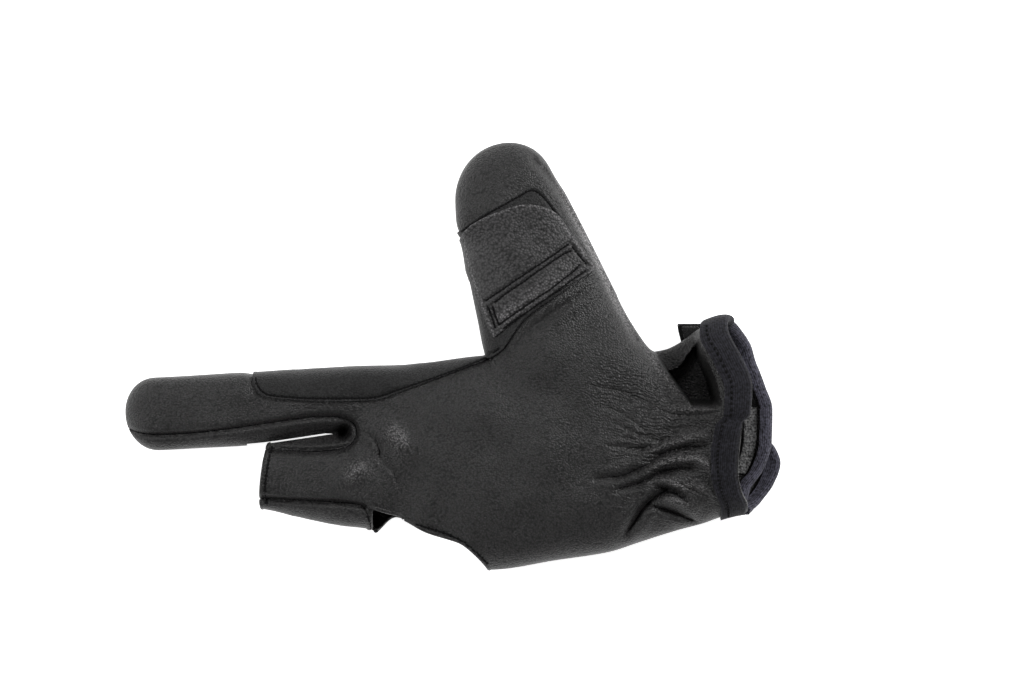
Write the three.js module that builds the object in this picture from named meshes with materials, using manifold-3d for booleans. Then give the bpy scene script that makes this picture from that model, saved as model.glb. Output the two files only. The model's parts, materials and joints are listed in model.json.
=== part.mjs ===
// An archery bow-hand glove of black leather, lying palm up. The thumb and the index finger are covered to
// their tips, the middle finger is a short open stub, and the ring and little fingers leave through one long
// opening. Millimetres, +Z up. X runs from the index fingertip to the cuff and Y from the edge of the hand to
// the thumb. The origin is under the middle of the glove, on the surface that it lies on.
import * as THREE from "three";
import { LoftGeometry } from "three/addons/geometries/LoftGeometry.js";
import { mergeVertices } from "three/addons/utils/BufferGeometryUtils.js";
import Module from "manifold-3d";

const wasm = await Module();
wasm.setup();

// Leather, tape and the clearances between sewn pieces.
const LEATHER = 1.4;
const OVERLAY_LEATHER = 1.2;
const TAPE = 0.8;
const PAD_THICKNESS = 0.7;
const SEAM_GAP = 0.3;

// The hand of the glove, from the crotch between its two fingers to the back of the cuff.
const HAND_LENGTH = 153;
const HAND_WIDTH = 76;
const PALM_HEIGHT = 27;
const CROTCH_RADIUS = 7;

// The index finger, the open stub of the middle finger, and the thumb.
const INDEX_LENGTH = 80.5;
const INDEX_WIDTH = 26;
const INDEX_HEIGHT = 17;
const INDEX_TIP_RADIUS = 13;
const INDEX_TILT = 4.5;
const STUB_LENGTH = 31.5;
const STUB_WIDTH = 33;
const STUB_HEIGHT = 18;
const STUB_TILT = 2.8;
const STUB_MOUTH_SLANT = 7;
const THUMB_LENGTH = 71;
const THUMB_WIDTH = 38;
const THUMB_HEIGHT = 22;
const THUMB_TIP_RADIUS = 18;
const THUMB_ANGLE = 107.9;

// Side strips of the fingers, cuff tape, closing strap, and the folds of the palm.
const INDEX_STRIP = 5.6;
const STUB_STRIP = 5;
const CROTCH_STRIP_RADIUS = 5.3;
const CUFF_STEP = 24;
const TAPE_OUTSIDE = 8.7;
const TAPE_INSIDE = 6;
const STRAP_LEATHER = 1.2;
const STRAP_TAPE_WIDTH = 6;
const TAB_LIFT = 4;
const LOOP_WIDTH = 9;
const FOLD_WIDTH = 6.5;
const FOLD_DEPTH = 3;

// The strap and its two layers of tape lie between the back of the cuff and the surface.
const STRAP_OUT = 2 * SEAM_GAP + TAPE + SEAM_GAP + TAPE + SEAM_GAP;
const STRAP_STACK = STRAP_OUT + STRAP_LEATHER + SEAM_GAP + TAPE;

// Where the strap's root, its tab and the loop strip begin and end, as shares of the hand's width.
const STRAP_ROOT = -0.4;
const TAB_START = 0.32;
const TAB_END = 0.5;
const STRAP_TOP = 11;
const LOOP_FROM = -0.22;
const LOOP_TO = 0.1;

// How finely the surfaces are cut.
const TOP_STEPS = { hand: 20, finger: 9, thumb: 11 };
const BOTTOM_STEPS = { hand: 7, finger: 5, thumb: 5 };
const FAR = 400;
const CROWN_CURVE = 2.5;
const GIRDLE_SHARE = 0.42;

// Each row is one section of a limb. along is a share of the limb's length from its root, and left and right
// are shares of its width, to either side of its axis as seen from root to tip. crown is a share of its height.
// floor is the height of the underside, as a share of the limb's height, or on the hand of the strap's stack.
const HAND_ROWS = [
  { along: 0.0, left: 0.26, right: 0.43, crown: 0.62, floor: 0 },
  { along: 0.085, left: 0.285, right: 0.53, crown: 0.7, floor: 0 },
  { along: 0.18, left: 0.3, right: 0.61, crown: 0.79, floor: 0 },
  { along: 0.33, left: 0.335, right: 0.66, crown: 0.9, floor: 0 },
  { along: 0.49, left: 0.34, right: 0.61, crown: 0.98, floor: 0 },
  { along: 0.61, left: 0.34, right: 0.57, crown: 1.0, floor: 0 },
  { along: 0.68, left: 0.355, right: 0.525, crown: 1.0, floor: 0.15 },
  { along: 0.745, left: 0.375, right: 0.485, crown: 0.98, floor: 0.9 },
  { along: 0.785, left: 0.415, right: 0.46, crown: 1.0, floor: 1 },
  { along: 0.83, left: 0.485, right: 0.435, crown: 1.06, floor: 1 },
  { along: 0.885, left: 0.53, right: 0.4, crown: 1.14, floor: 1 },
  { along: 0.93, left: 0.515, right: 0.385, crown: 1.18, floor: 1 },
  { along: 1.06, left: 0.49, right: 0.37, crown: 1.18, floor: 1 },
];
const INDEX_ROWS = [
  { along: -0.62, left: 0.2, right: 0.15, crown: 0.9, floor: 0 },
  { along: -0.3, left: 0.38, right: 0.34, crown: 1.04, floor: 0 },
  { along: 0.0, left: 0.44, right: 0.4, crown: 1.0, floor: 0 },
  { along: 0.25, left: 0.48, right: 0.415, crown: 0.96, floor: 0 },
  { along: 0.4, left: 0.5, right: 0.42, crown: 0.94, floor: 0 },
  { along: 0.47, left: 0.508, right: 0.475, crown: 0.97, floor: 0 },
  { along: 0.72, left: 0.513, right: 0.483, crown: 0.92, floor: 0 },
  { along: 1.0, left: 0.5, right: 0.49, crown: 0.82, floor: 0 },
];
const STUB_ROWS = [
  { along: -0.95, left: 0.38, right: 0.3, crown: 1.1, floor: 0 },
  { along: -0.35, left: 0.525, right: 0.4, crown: 1.06, floor: 0 },
  { along: 0.0, left: 0.5, right: 0.49, crown: 1.0, floor: 0 },
  { along: 0.5, left: 0.432, right: 0.432, crown: 0.92, floor: 0 },
  { along: 0.9, left: 0.364, right: 0.367, crown: 0.84, floor: 0 },
  { along: 1.25, left: 0.34, right: 0.35, crown: 0.8, floor: 0 },
];
const THUMB_ROWS = [
  { along: -0.55, left: -0.5, right: 0.985, crown: 1.0, floor: 0.72 },
  { along: -0.4, left: 0.0, right: 0.9, crown: 1.19, floor: 0.62 },
  { along: -0.24, left: 0.38, right: 0.826, crown: 1.2, floor: 0.45 },
  { along: -0.1, left: 0.6, right: 0.75, crown: 1.14, floor: 0.25 },
  { along: 0.0, left: 0.645, right: 0.706, crown: 1.08, floor: 0.12 },
  { along: 0.17, left: 0.598, right: 0.654, crown: 1.02, floor: 0 },
  { along: 0.39, left: 0.576, right: 0.596, crown: 0.94, floor: 0 },
  { along: 0.59, left: 0.537, right: 0.535, crown: 0.88, floor: 0 },
  { along: 0.68, left: 0.545, right: 0.5, crown: 0.87, floor: 0 },
  { along: 0.79, left: 0.509, right: 0.451, crown: 0.82, floor: 0 },
  { along: 1.0, left: 0.45, right: 0.4, crown: 0.68, floor: 0 },
];

// Folds and dents in the palm side of the hand, from one point to another. along and across are shares of the
// hand's length and width, width and depth of FOLD_WIDTH and FOLD_DEPTH, and a depth below zero is a ridge.
const FOLD_ROWS = [
  { along: 0.73, across: 0.32, toAlong: 0.84, toAcross: 0.21, width: 2.0, depth: 3.0 },
  { along: 0.67, across: -0.06, toAlong: 0.86, toAcross: 0.02, width: 0.7, depth: 1.0 },
  { along: 0.64, across: -0.2, toAlong: 0.86, toAcross: -0.09, width: 0.7, depth: 1.1 },
  { along: 0.71, across: -0.19, toAlong: 0.86, toAcross: -0.17, width: 0.7, depth: -0.5 },
  { along: 0.66, across: -0.31, toAlong: 0.85, toAcross: -0.24, width: 0.7, depth: 1.0 },
  { along: 0.72, across: -0.3, toAlong: 0.87, toAcross: -0.33, width: 0.8, depth: -0.6 },
  { along: 0.68, across: -0.41, toAlong: 0.79, toAcross: -0.33, width: 0.7, depth: 0.9 },
  { along: 0.45, across: -0.07, toAlong: 0.28, toAcross: -0.45, width: 1.1, depth: 0.5 },
  { along: 0.02, across: 0.03, toAlong: 0.17, toAcross: -0.38, width: 0.8, depth: 0.4 },
];

// The mouth of the cuff. near and far are how far its palm edge and its back edge stand back from the hand's
// end, as shares of CUFF_STEP, and across is a share of the hand's width.
const MOUTH_ROWS = [
  { across: -0.6, near: 0.36, far: 0.42 },
  { across: -0.37, near: 0.4, far: 0.42 },
  { across: -0.3, near: 0.5, far: 0.38 },
  { across: -0.2, near: 0.56, far: 0.2 },
  { across: -0.06, near: 0.53, far: 0.1 },
  { across: 0.09, near: 0.45, far: 0.07 },
  { across: 0.2, near: 0.43, far: 0.14 },
  { across: 0.33, near: 0.57, far: 0.26 },
  { across: 0.4, near: 0.68, far: 0.36 },
  { across: 0.47, near: 0.8, far: 0.5 },
  { across: 0.54, near: 0.9, far: 0.78 },
  { across: 0.7, near: 0.95, far: 0.92 },
];

// The hem where the ring and little fingers leave the hand, in shares of the hand's length and width.
const HEM_ROWS = [
  { along: 0.05, across: -0.52 },
  { along: 0.066, across: -0.481 },
  { along: 0.097, across: -0.422 },
  { along: 0.125, across: -0.422 },
  { along: 0.181, across: -0.483 },
  { along: 0.238, across: -0.519 },
  { along: 0.266, across: -0.54 },
  { along: 0.294, across: -0.585 },
  { along: 0.322, across: -0.645 },
  { along: 0.345, across: -0.72 },
];

// The closing strap from its free tab, past the back of the cuff, to its root at the edge of the hand.
// near and far are its two edges as shares of the hand's length, and across is a share of the hand's width.
const STRAP_ROWS = [
  { across: 0.5, near: 0.774, far: 0.84 },
  { across: 0.4, near: 0.784, far: 0.895 },
  { across: 0.145, near: 0.8, far: 0.946 },
  { across: -0.045, near: 0.812, far: 0.985 },
  { across: -0.1, near: 0.816, far: 1.006 },
  { across: -0.165, near: 0.818, far: 1.017 },
  { across: -0.26, near: 0.82, far: 1.0 },
  { across: -0.34, near: 0.822, far: 0.967 },
  { across: -0.4, near: 0.824, far: 0.935 },
];

const MATERIALS = {
  leather: new THREE.MeshStandardMaterial({ color: 0x2b2a2b, roughness: 0.52, metalness: 0 }),
  overlay: new THREE.MeshStandardMaterial({ color: 0x2e2d2e, roughness: 0.58, metalness: 0 }),
  tape: new THREE.MeshStandardMaterial({ color: 0x24232b, roughness: 0.9, metalness: 0 }),
  pile: new THREE.MeshStandardMaterial({ color: 0x1b1b1f, roughness: 1, metalness: 0 }),
};

const degrees = (angle) => THREE.MathUtils.degToRad(angle);

// A smooth value between the rows of a table: the rows' own values at the rows, with no overshoot.
function between(rows, key, column, at) {
  const last = rows.length - 1;
  const x = THREE.MathUtils.clamp(at, rows[0][key], rows[last][key]);
  const i = Math.min(rows.findLastIndex((row) => row[key] <= x), last - 1);
  const slope = (j) => (rows[j + 1][column] - rows[j][column]) / (rows[j + 1][key] - rows[j][key]);
  const tangent = (j) => {
    if (j === 0 || j === last) return 0;
    const [before, after] = [slope(j - 1), slope(j)];
    return before * after <= 0 ? 0 : (2 * before * after) / (before + after);
  };
  const span = rows[i + 1][key] - rows[i][key];
  const t = (x - rows[i][key]) / span;
  const [a, b] = [rows[i][column], rows[i + 1][column]];
  const curve = a * (1 + 2 * t) * (1 - t) ** 2 + b * t * t * (3 - 2 * t);
  return curve + span * (tangent(i) * t * (1 - t) ** 2 - tangent(i + 1) * t * t * (1 - t));
}

// A quarter ellipse from 0 at an end to 1 at one radius from it.
function roundEnd(distance, radius) {
  const inside = THREE.MathUtils.clamp(1 - distance / radius, 0, 1);
  return Math.sqrt(1 - inside * inside);
}

// A limb's own place for a share of its length and a share of its width, on the plan.
function pointOn(limb, along, across) {
  const direction = new THREE.Vector2(Math.cos(limb.heading), Math.sin(limb.heading));
  const left = new THREE.Vector2(-direction.y, direction.x);
  return limb.root
    .clone()
    .addScaledVector(direction, along * limb.length)
    .addScaledVector(left, across * limb.width);
}

const hand = {
  root: new THREE.Vector2(0, 0),
  heading: 0,
  length: HAND_LENGTH,
  width: HAND_WIDTH,
  height: PALM_HEIGHT,
  floorUnit: STRAP_STACK,
  rows: HAND_ROWS,
  folds: FOLD_ROWS,
  startRadius: CROTCH_RADIUS,
  top: TOP_STEPS.hand,
  bottom: BOTTOM_STEPS.hand,
  stations: [0, 0.005, 0.02, 0.05, 0.1, 0.17, 0.25, 0.33, 0.42, 0.5, 0.57, 0.63, 0.665, 0.695, 0.725]
    .concat([0.75, 0.775, 0.8, 0.825, 0.855, 0.89, 0.94, 1.06]),
};
const index = {
  root: new THREE.Vector2(0, INDEX_WIDTH * 0.43),
  heading: degrees(180 + INDEX_TILT),
  length: INDEX_LENGTH,
  width: INDEX_WIDTH,
  height: INDEX_HEIGHT,
  floorUnit: INDEX_HEIGHT,
  rows: INDEX_ROWS,
  endRadius: INDEX_TIP_RADIUS,
  top: TOP_STEPS.finger,
  bottom: BOTTOM_STEPS.finger,
  stations: [-0.62, -0.4, -0.2, 0, 0.18, 0.4, 0.46, 0.62, 0.78, 0.86, 0.92, 0.96, 0.985, 0.997, 1],
};
const stub = {
  root: new THREE.Vector2(0, -STUB_WIDTH * 0.54),
  heading: degrees(180 - STUB_TILT),
  length: STUB_LENGTH,
  width: STUB_WIDTH,
  height: STUB_HEIGHT,
  floorUnit: STUB_HEIGHT,
  rows: STUB_ROWS,
  openEnd: beyondStub,
  top: TOP_STEPS.finger,
  bottom: BOTTOM_STEPS.finger,
  stations: [-0.95, -0.6, -0.3, 0, 0.4, 0.8, 1.25],
};
const thumb = {
  root: pointOn(hand, 0.483, 0.455),
  heading: degrees(THUMB_ANGLE),
  length: THUMB_LENGTH,
  width: THUMB_WIDTH,
  height: THUMB_HEIGHT,
  floorUnit: THUMB_HEIGHT,
  rows: THUMB_ROWS,
  endRadius: THUMB_TIP_RADIUS,
  top: TOP_STEPS.thumb,
  bottom: BOTTOM_STEPS.thumb,
  stations: [-0.55, -0.45, -0.35, -0.24, -0.13, -0.02, 0.12, 0.28, 0.44, 0.6, 0.7, 0.8, 0.88, 0.94, 0.98, 0.996, 1],
};
const LIMBS = [hand, index, stub, thumb];

// How far the folds lower the palm side at one place on the plan, in millimetres.
function foldDrop(limb, x, y) {
  let drop = 0;
  for (const row of limb.folds ?? []) {
    const from = pointOn(limb, row.along, row.across);
    const run = pointOn(limb, row.toAlong, row.toAcross).sub(from);
    const place = new THREE.Vector2(x, y).sub(from);
    const t = THREE.MathUtils.clamp(place.dot(run) / run.lengthSq(), 0, 1);
    const away = place.addScaledVector(run, -t).length() / (row.width * FOLD_WIDTH);
    drop += row.depth * FOLD_DEPTH * Math.exp(-away * away) * Math.sqrt(Math.sin(Math.PI * (0.12 + 0.76 * t)));
  }
  return drop;
}

// One flattened section of a limb: a crowned top over an underside that lies flat. grow moves the whole
// skin outwards, so that a negative value gives the inner face of the wall.
function section(limb, distance, grow) {
  const share = distance / limb.length;
  const size = (column) => between(limb.rows, "along", column, share);
  const tip = limb.endRadius ? roundEnd(limb.length + grow - distance, limb.endRadius + grow) : 1;
  const start = limb.startRadius ? roundEnd(distance + grow, limb.startRadius + grow) : 1;
  const shrink = Math.max(tip * start, 0.02);
  const left = (size("left") * limb.width + grow) * shrink;
  const right = (size("right") * limb.width + grow) * shrink;
  const floor = size("floor") * limb.floorUnit;
  const height = size("crown") * limb.height - floor;
  const girdle = floor + GIRDLE_SHARE * height;
  const rise = (height * (1 - GIRDLE_SHARE) + grow) * shrink;
  const fall = (height * GIRDLE_SHARE * 1.12 + grow) * shrink;
  const arch = (s, power) => (1 - Math.min(Math.abs(s), 1) ** power) ** (1 / power);
  const points = [];
  const add = (s, z) => {
    const middle = (left - right) / 2;
    const across = (middle + (s * (left + right)) / 2) / limb.width;
    const place = pointOn(limb, share, across);
    points.push(new THREE.Vector3(place.x, place.y, z));
  };
  // From the left edge over the top to the right edge, then back along the underside.
  for (let i = 0; i < limb.top; i++) {
    const even = 1 - (2 * i) / limb.top;
    const s = 0.5 * even + 0.5 * Math.sin((Math.PI / 2) * even);
    add(s, girdle + rise * arch(s, CROWN_CURVE));
  }
  for (let i = 0; i < limb.bottom; i++) {
    const s = -Math.cos((Math.PI * i) / limb.bottom);
    add(s, Math.max(girdle - fall * arch(s, CROWN_CURVE), floor - grow));
  }
  for (const point of points) {
    const top = THREE.MathUtils.smoothstep(point.z, girdle, girdle + 0.5 * rise);
    point.z -= top * foldDrop(limb, point.x, point.y);
  }
  return points;
}

// A closed three.js geometry as a solid that can be cut and joined.
function solidOf(geometry) {
  const bare = new THREE.BufferGeometry().setAttribute("position", geometry.getAttribute("position"));
  if (geometry.index) bare.setIndex(geometry.index);
  const merged = mergeVertices(bare, 1e-4);
  const corners = merged.index.array;
  const kept = [];
  for (let i = 0; i < corners.length; i += 3) {
    const [a, b, c] = corners.subarray(i, i + 3);
    if (a !== b && b !== c && c !== a) kept.push(a, b, c);
  }
  return new wasm.Manifold(
    new wasm.Mesh({
      numProp: 3,
      vertProperties: merged.attributes.position.array,
      triVerts: new Uint32Array(kept),
    }),
  );
}

// A solid loft through rings of points. Each end is closed by a ring that has shrunk to its middle.
function loft(sections) {
  const closing = (points) => {
    const middle = points.reduce((sum, point) => sum.add(point), new THREE.Vector3());
    middle.divideScalar(points.length);
    return points.map(() => middle.clone());
  };
  return solidOf(new LoftGeometry([closing(sections[0]), ...sections, closing(sections.at(-1))]));
}

// The whole glove filled in, with its skin moved outwards by grow.
function body(grow) {
  const solids = LIMBS.map((limb) => {
    const end = limb.endRadius ? grow : 0;
    const start = limb.startRadius ? grow : 0;
    const first = limb.stations[0];
    const last = limb.stations.at(-1);
    const distances = limb.stations.map((share) => {
      const t = (share - first) / (last - first);
      return share * limb.length + t * end - (1 - t) * start;
    });
    const whole = loft(distances.map((distance) => section(limb, distance, grow)));
    return limb.openEnd && grow >= 0 ? whole.subtract(limb.openEnd()) : whole;
  });
  return solids.reduce((all, solid) => all.add(solid));
}

// An upright prism over an outline on the plan.
function prism(outline, low = -FAR, high = FAR) {
  const shape = new THREE.Shape(outline);
  const block = new THREE.ExtrudeGeometry(shape, { depth: high - low, bevelEnabled: false });
  return solidOf(block.translate(0, 0, low));
}

// Everything beyond the mouth of the cuff, which leans because the back of the cuff is longer than its palm.
function beyondMouth(offset) {
  const block = new THREE.BoxGeometry(FAR, 2 * HAND_WIDTH, 4 * PALM_HEIGHT, 1, 14, 7);
  const places = block.getAttribute("position");
  const cuffLow = STRAP_STACK + 0.12 * PALM_HEIGHT;
  const cuffHigh = 0.98 * PALM_HEIGHT;
  for (let i = 0; i < places.count; i++) {
    if (places.getX(i) > 0) {
      places.setX(i, HAND_LENGTH + FAR);
      continue;
    }
    const across = places.getY(i) / HAND_WIDTH;
    const near = between(MOUTH_ROWS, "across", "near", across);
    const far = between(MOUTH_ROWS, "across", "far", across);
    const lean = THREE.MathUtils.smoothstep(places.getZ(i), cuffLow, cuffHigh);
    places.setX(i, HAND_LENGTH - CUFF_STEP * THREE.MathUtils.lerp(far, near, lean) + offset);
  }
  return solidOf(block);
}

// Everything past the open end of the stub, which is cut a little slantwise.
function beyondStub() {
  const block = new THREE.BoxGeometry(STUB_LENGTH, 2 * STUB_WIDTH, FAR);
  block.translate(-STUB_LENGTH / 2, 0, 0);
  block.rotateZ(degrees(-STUB_MOUTH_SLANT));
  const end = pointOn(stub, 1, 0);
  return solidOf(block.translate(end.x, end.y, 0));
}

// Everything outside the hem of the ring and little fingers.
function beyondHem() {
  const edge = HEM_ROWS.map((row) => pointOn(hand, row.along, row.across));
  const low = -1.2;
  const corners = [pointOn(hand, HEM_ROWS.at(-1).along, low), pointOn(hand, HEM_ROWS[0].along, low)];
  return prism([...edge, ...corners]);
}

// A strip along one side of a limb, from just outside its edge inwards by a depth that may change from root
// to end. side is 1 on the left of the limb and -1 on its right.
function sideStrip(limb, side, from, to, depthAtFrom, depthAtTo) {
  const column = side > 0 ? "left" : "right";
  const steps = 8;
  const inner = [];
  const outer = [];
  for (let i = 0; i <= steps; i++) {
    const share = THREE.MathUtils.lerp(from, to, i / steps);
    const depth = THREE.MathUtils.lerp(depthAtFrom, depthAtTo, i / steps);
    const edge = between(limb.rows, "along", column, share);
    inner.push(pointOn(limb, share, side * (edge - depth / limb.width)));
    outer.push(pointOn(limb, share, side * (edge + SEAM_GAP / limb.width)));
  }
  return prism([...inner, ...outer.reverse()]);
}

// Where the strip between the index finger and the stub shows: both sides of the gap and round its crotch.
function crotchStripRegion(extra) {
  const turn = new THREE.CylinderGeometry(CROTCH_STRIP_RADIUS + extra, CROTCH_STRIP_RADIUS + extra, FAR, 20);
  turn.rotateX(Math.PI / 2);
  const depth = INDEX_STRIP + extra;
  const stubDepth = STUB_STRIP + extra;
  return sideStrip(index, 1, -0.02, 1.02, depth, depth)
    .add(sideStrip(stub, -1, -0.05, 1.1, stubDepth, 0.4 * STUB_STRIP + extra))
    .add(solidOf(turn));
}

// Where the strip along the outer side of the stub shows.
function stubStripRegion(extra) {
  return sideStrip(stub, 1, -0.2 - extra / STUB_LENGTH, 1.1, 1.5 * STUB_STRIP + extra, 0.6 * STUB_STRIP + extra);
}

const openings = beyondMouth(0).add(beyondHem());
const shell = body(0).subtract(body(-LEATHER)).subtract(openings);

// The palm, back, thumb and finger fronts, cut and sewn from one skin of leather.
function handLeather() {
  const strips = crotchStripRegion(SEAM_GAP).add(stubStripRegion(SEAM_GAP));
  return shell.subtract(strips);
}

// The narrow side strip that runs down the index finger, round the crotch and up the stub.
function crotchStrip() {
  return shell.intersect(crotchStripRegion(0)).subtract(stubStripRegion(SEAM_GAP));
}

// The narrow side strip on the outer side of the stub.
function stubStrip() {
  return shell.intersect(stubStripRegion(0));
}

// A layer of leather lying on the glove's skin, between two distances from it.
const layer = (inner, outer) => body(outer).subtract(body(inner));

// The reinforcement that wraps the thumb side of the index finger, crosses the web and climbs the thumb.
const WEB_ON_INDEX = [
  { along: 0.425, across: -0.9 },
  { along: 0.427, across: -0.3 },
  { along: 0.407, across: -0.19 },
  { along: 0.373, across: -0.13 },
  { along: 0.214, across: -0.03 },
  { along: 0.036, across: 0.03 },
  { along: -0.1, across: 0.03 },
];
const WEB_ON_HAND = [
  { along: 0.122, across: 0.178 },
  { along: 0.217, across: 0.238 },
  { along: 0.287, across: 0.275 },
  { along: 0.33, across: 0.315 },
];
const WEB_ON_THUMB = [
  { along: 0.007, across: 0.525 },
  { along: 0.055, across: 0.397 },
  { along: 0.099, across: 0.251 },
  { along: 0.13, across: 0.123 },
  { along: 0.179, across: -0.026 },
  { along: 0.22, across: -0.25 },
  { along: 0.259, across: -0.552 },
  { along: 0.312, across: -0.554 },
  { along: 0.438, across: -0.5 },
  { along: 0.568, across: -0.429 },
  { along: 0.637, across: -0.371 },
  { along: 0.685, across: -0.31 },
  { along: 0.724, across: -0.204 },
  { along: 0.684, across: 0.118 },
  { along: 0.633, across: 0.567 },
  { along: 0.61, across: 0.85 },
  { along: 0.13, across: 0.85 },
];
function webLeather() {
  const outline = [
    ...WEB_ON_INDEX.map((row) => pointOn(index, row.along, row.across)),
    ...WEB_ON_HAND.map((row) => pointOn(hand, row.along, row.across)),
    ...WEB_ON_THUMB.map((row) => pointOn(thumb, row.along, row.across)),
  ];
  const edgeHeight = 0.3 * INDEX_HEIGHT;
  return layer(SEAM_GAP, SEAM_GAP + OVERLAY_LEATHER).intersect(prism(outline, edgeHeight, FAR));
}

// The round-cornered flap sewn by its lower end to the inner face of the thumb.
const FLAP_EDGE = [
  { along: 0.094, across: 0.5 },
  { along: 0.193, across: -0.03 },
  { along: 0.262, across: -0.54 },
  { along: 0.384, across: -0.447 },
  { along: 0.504, across: -0.37 },
  { along: 0.6, across: -0.305 },
  { along: 0.652, across: -0.21 },
  { along: 0.667, across: -0.07 },
  { along: 0.662, across: 0.13 },
  { along: 0.632, across: 0.351 },
  { along: 0.608, across: 0.48 },
  { along: 0.573, across: 0.53 },
  { along: 0.479, across: 0.52 },
  { along: 0.269, across: 0.49 },
];
function thumbFlap() {
  const under = SEAM_GAP + OVERLAY_LEATHER + SEAM_GAP;
  const outline = FLAP_EDGE.map((row) => pointOn(thumb, row.along, row.across));
  const upper = prism(outline, 0.45 * THUMB_HEIGHT, FAR);
  return layer(under, under + OVERLAY_LEATHER).intersect(upper);
}

// The tape folded over the edge of the cuff, outside and inside.
function cuffTape() {
  const outside = layer(SEAM_GAP, SEAM_GAP + TAPE).subtract(beyondMouth(SEAM_GAP + TAPE));
  const insideLayer = body(-LEATHER - SEAM_GAP).subtract(body(-LEATHER - SEAM_GAP - TAPE));
  const inside = insideLayer.subtract(beyondMouth(SEAM_GAP + TAPE));
  const rim = body(SEAM_GAP + TAPE)
    .subtract(body(-LEATHER - SEAM_GAP - TAPE))
    .intersect(beyondMouth(SEAM_GAP))
    .subtract(beyondMouth(SEAM_GAP + TAPE));
  return outside
    .intersect(beyondMouth(-TAPE_OUTSIDE))
    .add(inside.intersect(beyondMouth(-TAPE_INSIDE)))
    .add(rim);
}

// The strap's outline on the plan, drawn in from its far edge by one distance, and optionally a band of that
// edge alone.
function strapOutline(from, to, farInset, bandWidth = 0) {
  const steps = 30;
  const rows = [...STRAP_ROWS].reverse();
  const near = [];
  const far = [];
  for (let i = 0; i <= steps; i++) {
    const across = THREE.MathUtils.lerp(from, to, i / steps);
    const edge = between(rows, "across", "far", across);
    const other = bandWidth ? edge - bandWidth / HAND_LENGTH : between(rows, "across", "near", across);
    near.push(pointOn(hand, other, across));
    far.push(pointOn(hand, edge - farInset / HAND_LENGTH, across));
  }
  return [...near, ...far.reverse()];
}

// A slab of the strap's free tab, between two heights above the strap's underside, lifting towards its end.
function tabSlab(from, to, nearInset, farInset, low, high) {
  const rows = [...STRAP_ROWS].reverse();
  const steps = 8;
  const rings = [];
  for (let i = 0; i <= steps; i++) {
    const across = THREE.MathUtils.lerp(from, to, i / steps);
    const t = (across - TAB_START) / (TAB_END - TAB_START);
    const level = STRAP_STACK - STRAP_OUT - STRAP_LEATHER + TAB_LIFT * t * Math.abs(t);
    const near = between(rows, "across", "near", across) + nearInset / HAND_LENGTH;
    const far = between(rows, "across", "far", across) - farInset / HAND_LENGTH;
    const corners = [[near, low], [near, high], [far, high], [far, low]];
    rings.push(
      corners.map(([along, height]) => {
        const place = pointOn(hand, along, across);
        return new THREE.Vector3(place.x, place.y, level + height);
      }),
    );
  }
  return loft(rings);
}

// The closing strap: from the edge of the hand it passes outside the back of the cuff, and its tab turns up.
function closureStrap() {
  const inset = SEAM_GAP + TAPE;
  const wrap = layer(STRAP_OUT, STRAP_OUT + STRAP_LEATHER).intersect(
    prism(strapOutline(STRAP_ROOT, TAB_START + 0.01, inset), -FAR, STRAP_TOP),
  );
  return wrap.add(tabSlab(TAB_START, TAB_END, 0, inset, 0, STRAP_LEATHER));
}

// The tape folded over the far edge of the strap.
function strapTape() {
  const inner = STRAP_OUT - SEAM_GAP;
  const outer = STRAP_OUT + STRAP_LEATHER + SEAM_GAP;
  const band = prism(strapOutline(STRAP_ROOT, TAB_START - 0.02, 0, STRAP_TAPE_WIDTH), -FAR, STRAP_TOP);
  const room = prism(strapOutline(STRAP_ROOT - 0.1, TAB_START + 0.1, TAPE, 2 * STRAP_TAPE_WIDTH), -FAR, FAR);
  return layer(inner - TAPE, outer + TAPE).intersect(band).subtract(layer(inner, outer).intersect(room));
}

// The hook patch on the upper face of the tab.
function hookPad() {
  const low = STRAP_LEATHER + SEAM_GAP;
  return tabSlab(TAB_START + 0.05, TAB_END - 0.015, 1.5, 3, low, low + PAD_THICKNESS);
}

// The soft strip sewn inside the back of the cuff.
function loopStrip() {
  const inner = layer(-LEATHER - SEAM_GAP - PAD_THICKNESS, -LEATHER - SEAM_GAP);
  const start = TAPE_INSIDE + SEAM_GAP;
  const places = [LOOP_FROM, LOOP_TO].map((across) => pointOn(hand, 0, across).y);
  const width = new THREE.BoxGeometry(2 * FAR, places[1] - places[0], 2 * STRAP_TOP);
  width.translate(0, (places[0] + places[1]) / 2, 0);
  return inner
    .intersect(solidOf(width))
    .intersect(beyondMouth(-start - LOOP_WIDTH))
    .subtract(beyondMouth(-start));
}

// Gives a solid its name and finish.
function piece(name, solid, material) {
  const { numProp, numVert, vertProperties, triVerts } = solid.getMesh();
  const places = new Float32Array(numVert * 3);
  for (let i = 0; i < numVert; i++) places.set(vertProperties.subarray(i * numProp, i * numProp + 3), i * 3);
  const geometry = new THREE.BufferGeometry()
    .setAttribute("position", new THREE.BufferAttribute(places, 3))
    .setIndex(new THREE.BufferAttribute(new Uint32Array(triVerts), 1));
  geometry.computeVertexNormals();
  const mesh = new THREE.Mesh(geometry, material);
  mesh.name = name;
  return mesh;
}

const glove = new THREE.Group();
glove.add(
  piece("hand_leather", handLeather(), MATERIALS.leather),
  piece("crotch_strip", crotchStrip(), MATERIALS.leather),
  piece("stub_strip", stubStrip(), MATERIALS.leather),
  piece("web_leather", webLeather(), MATERIALS.overlay),
  piece("thumb_flap", thumbFlap(), MATERIALS.overlay),
  piece("cuff_tape", cuffTape(), MATERIALS.tape),
  piece("closure_strap", closureStrap(), MATERIALS.overlay),
  piece("strap_tape", strapTape(), MATERIALS.tape),
  piece("hook_pad", hookPad(), MATERIALS.pile),
  piece("loop_strip", loopStrip(), MATERIALS.pile),
);

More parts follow.
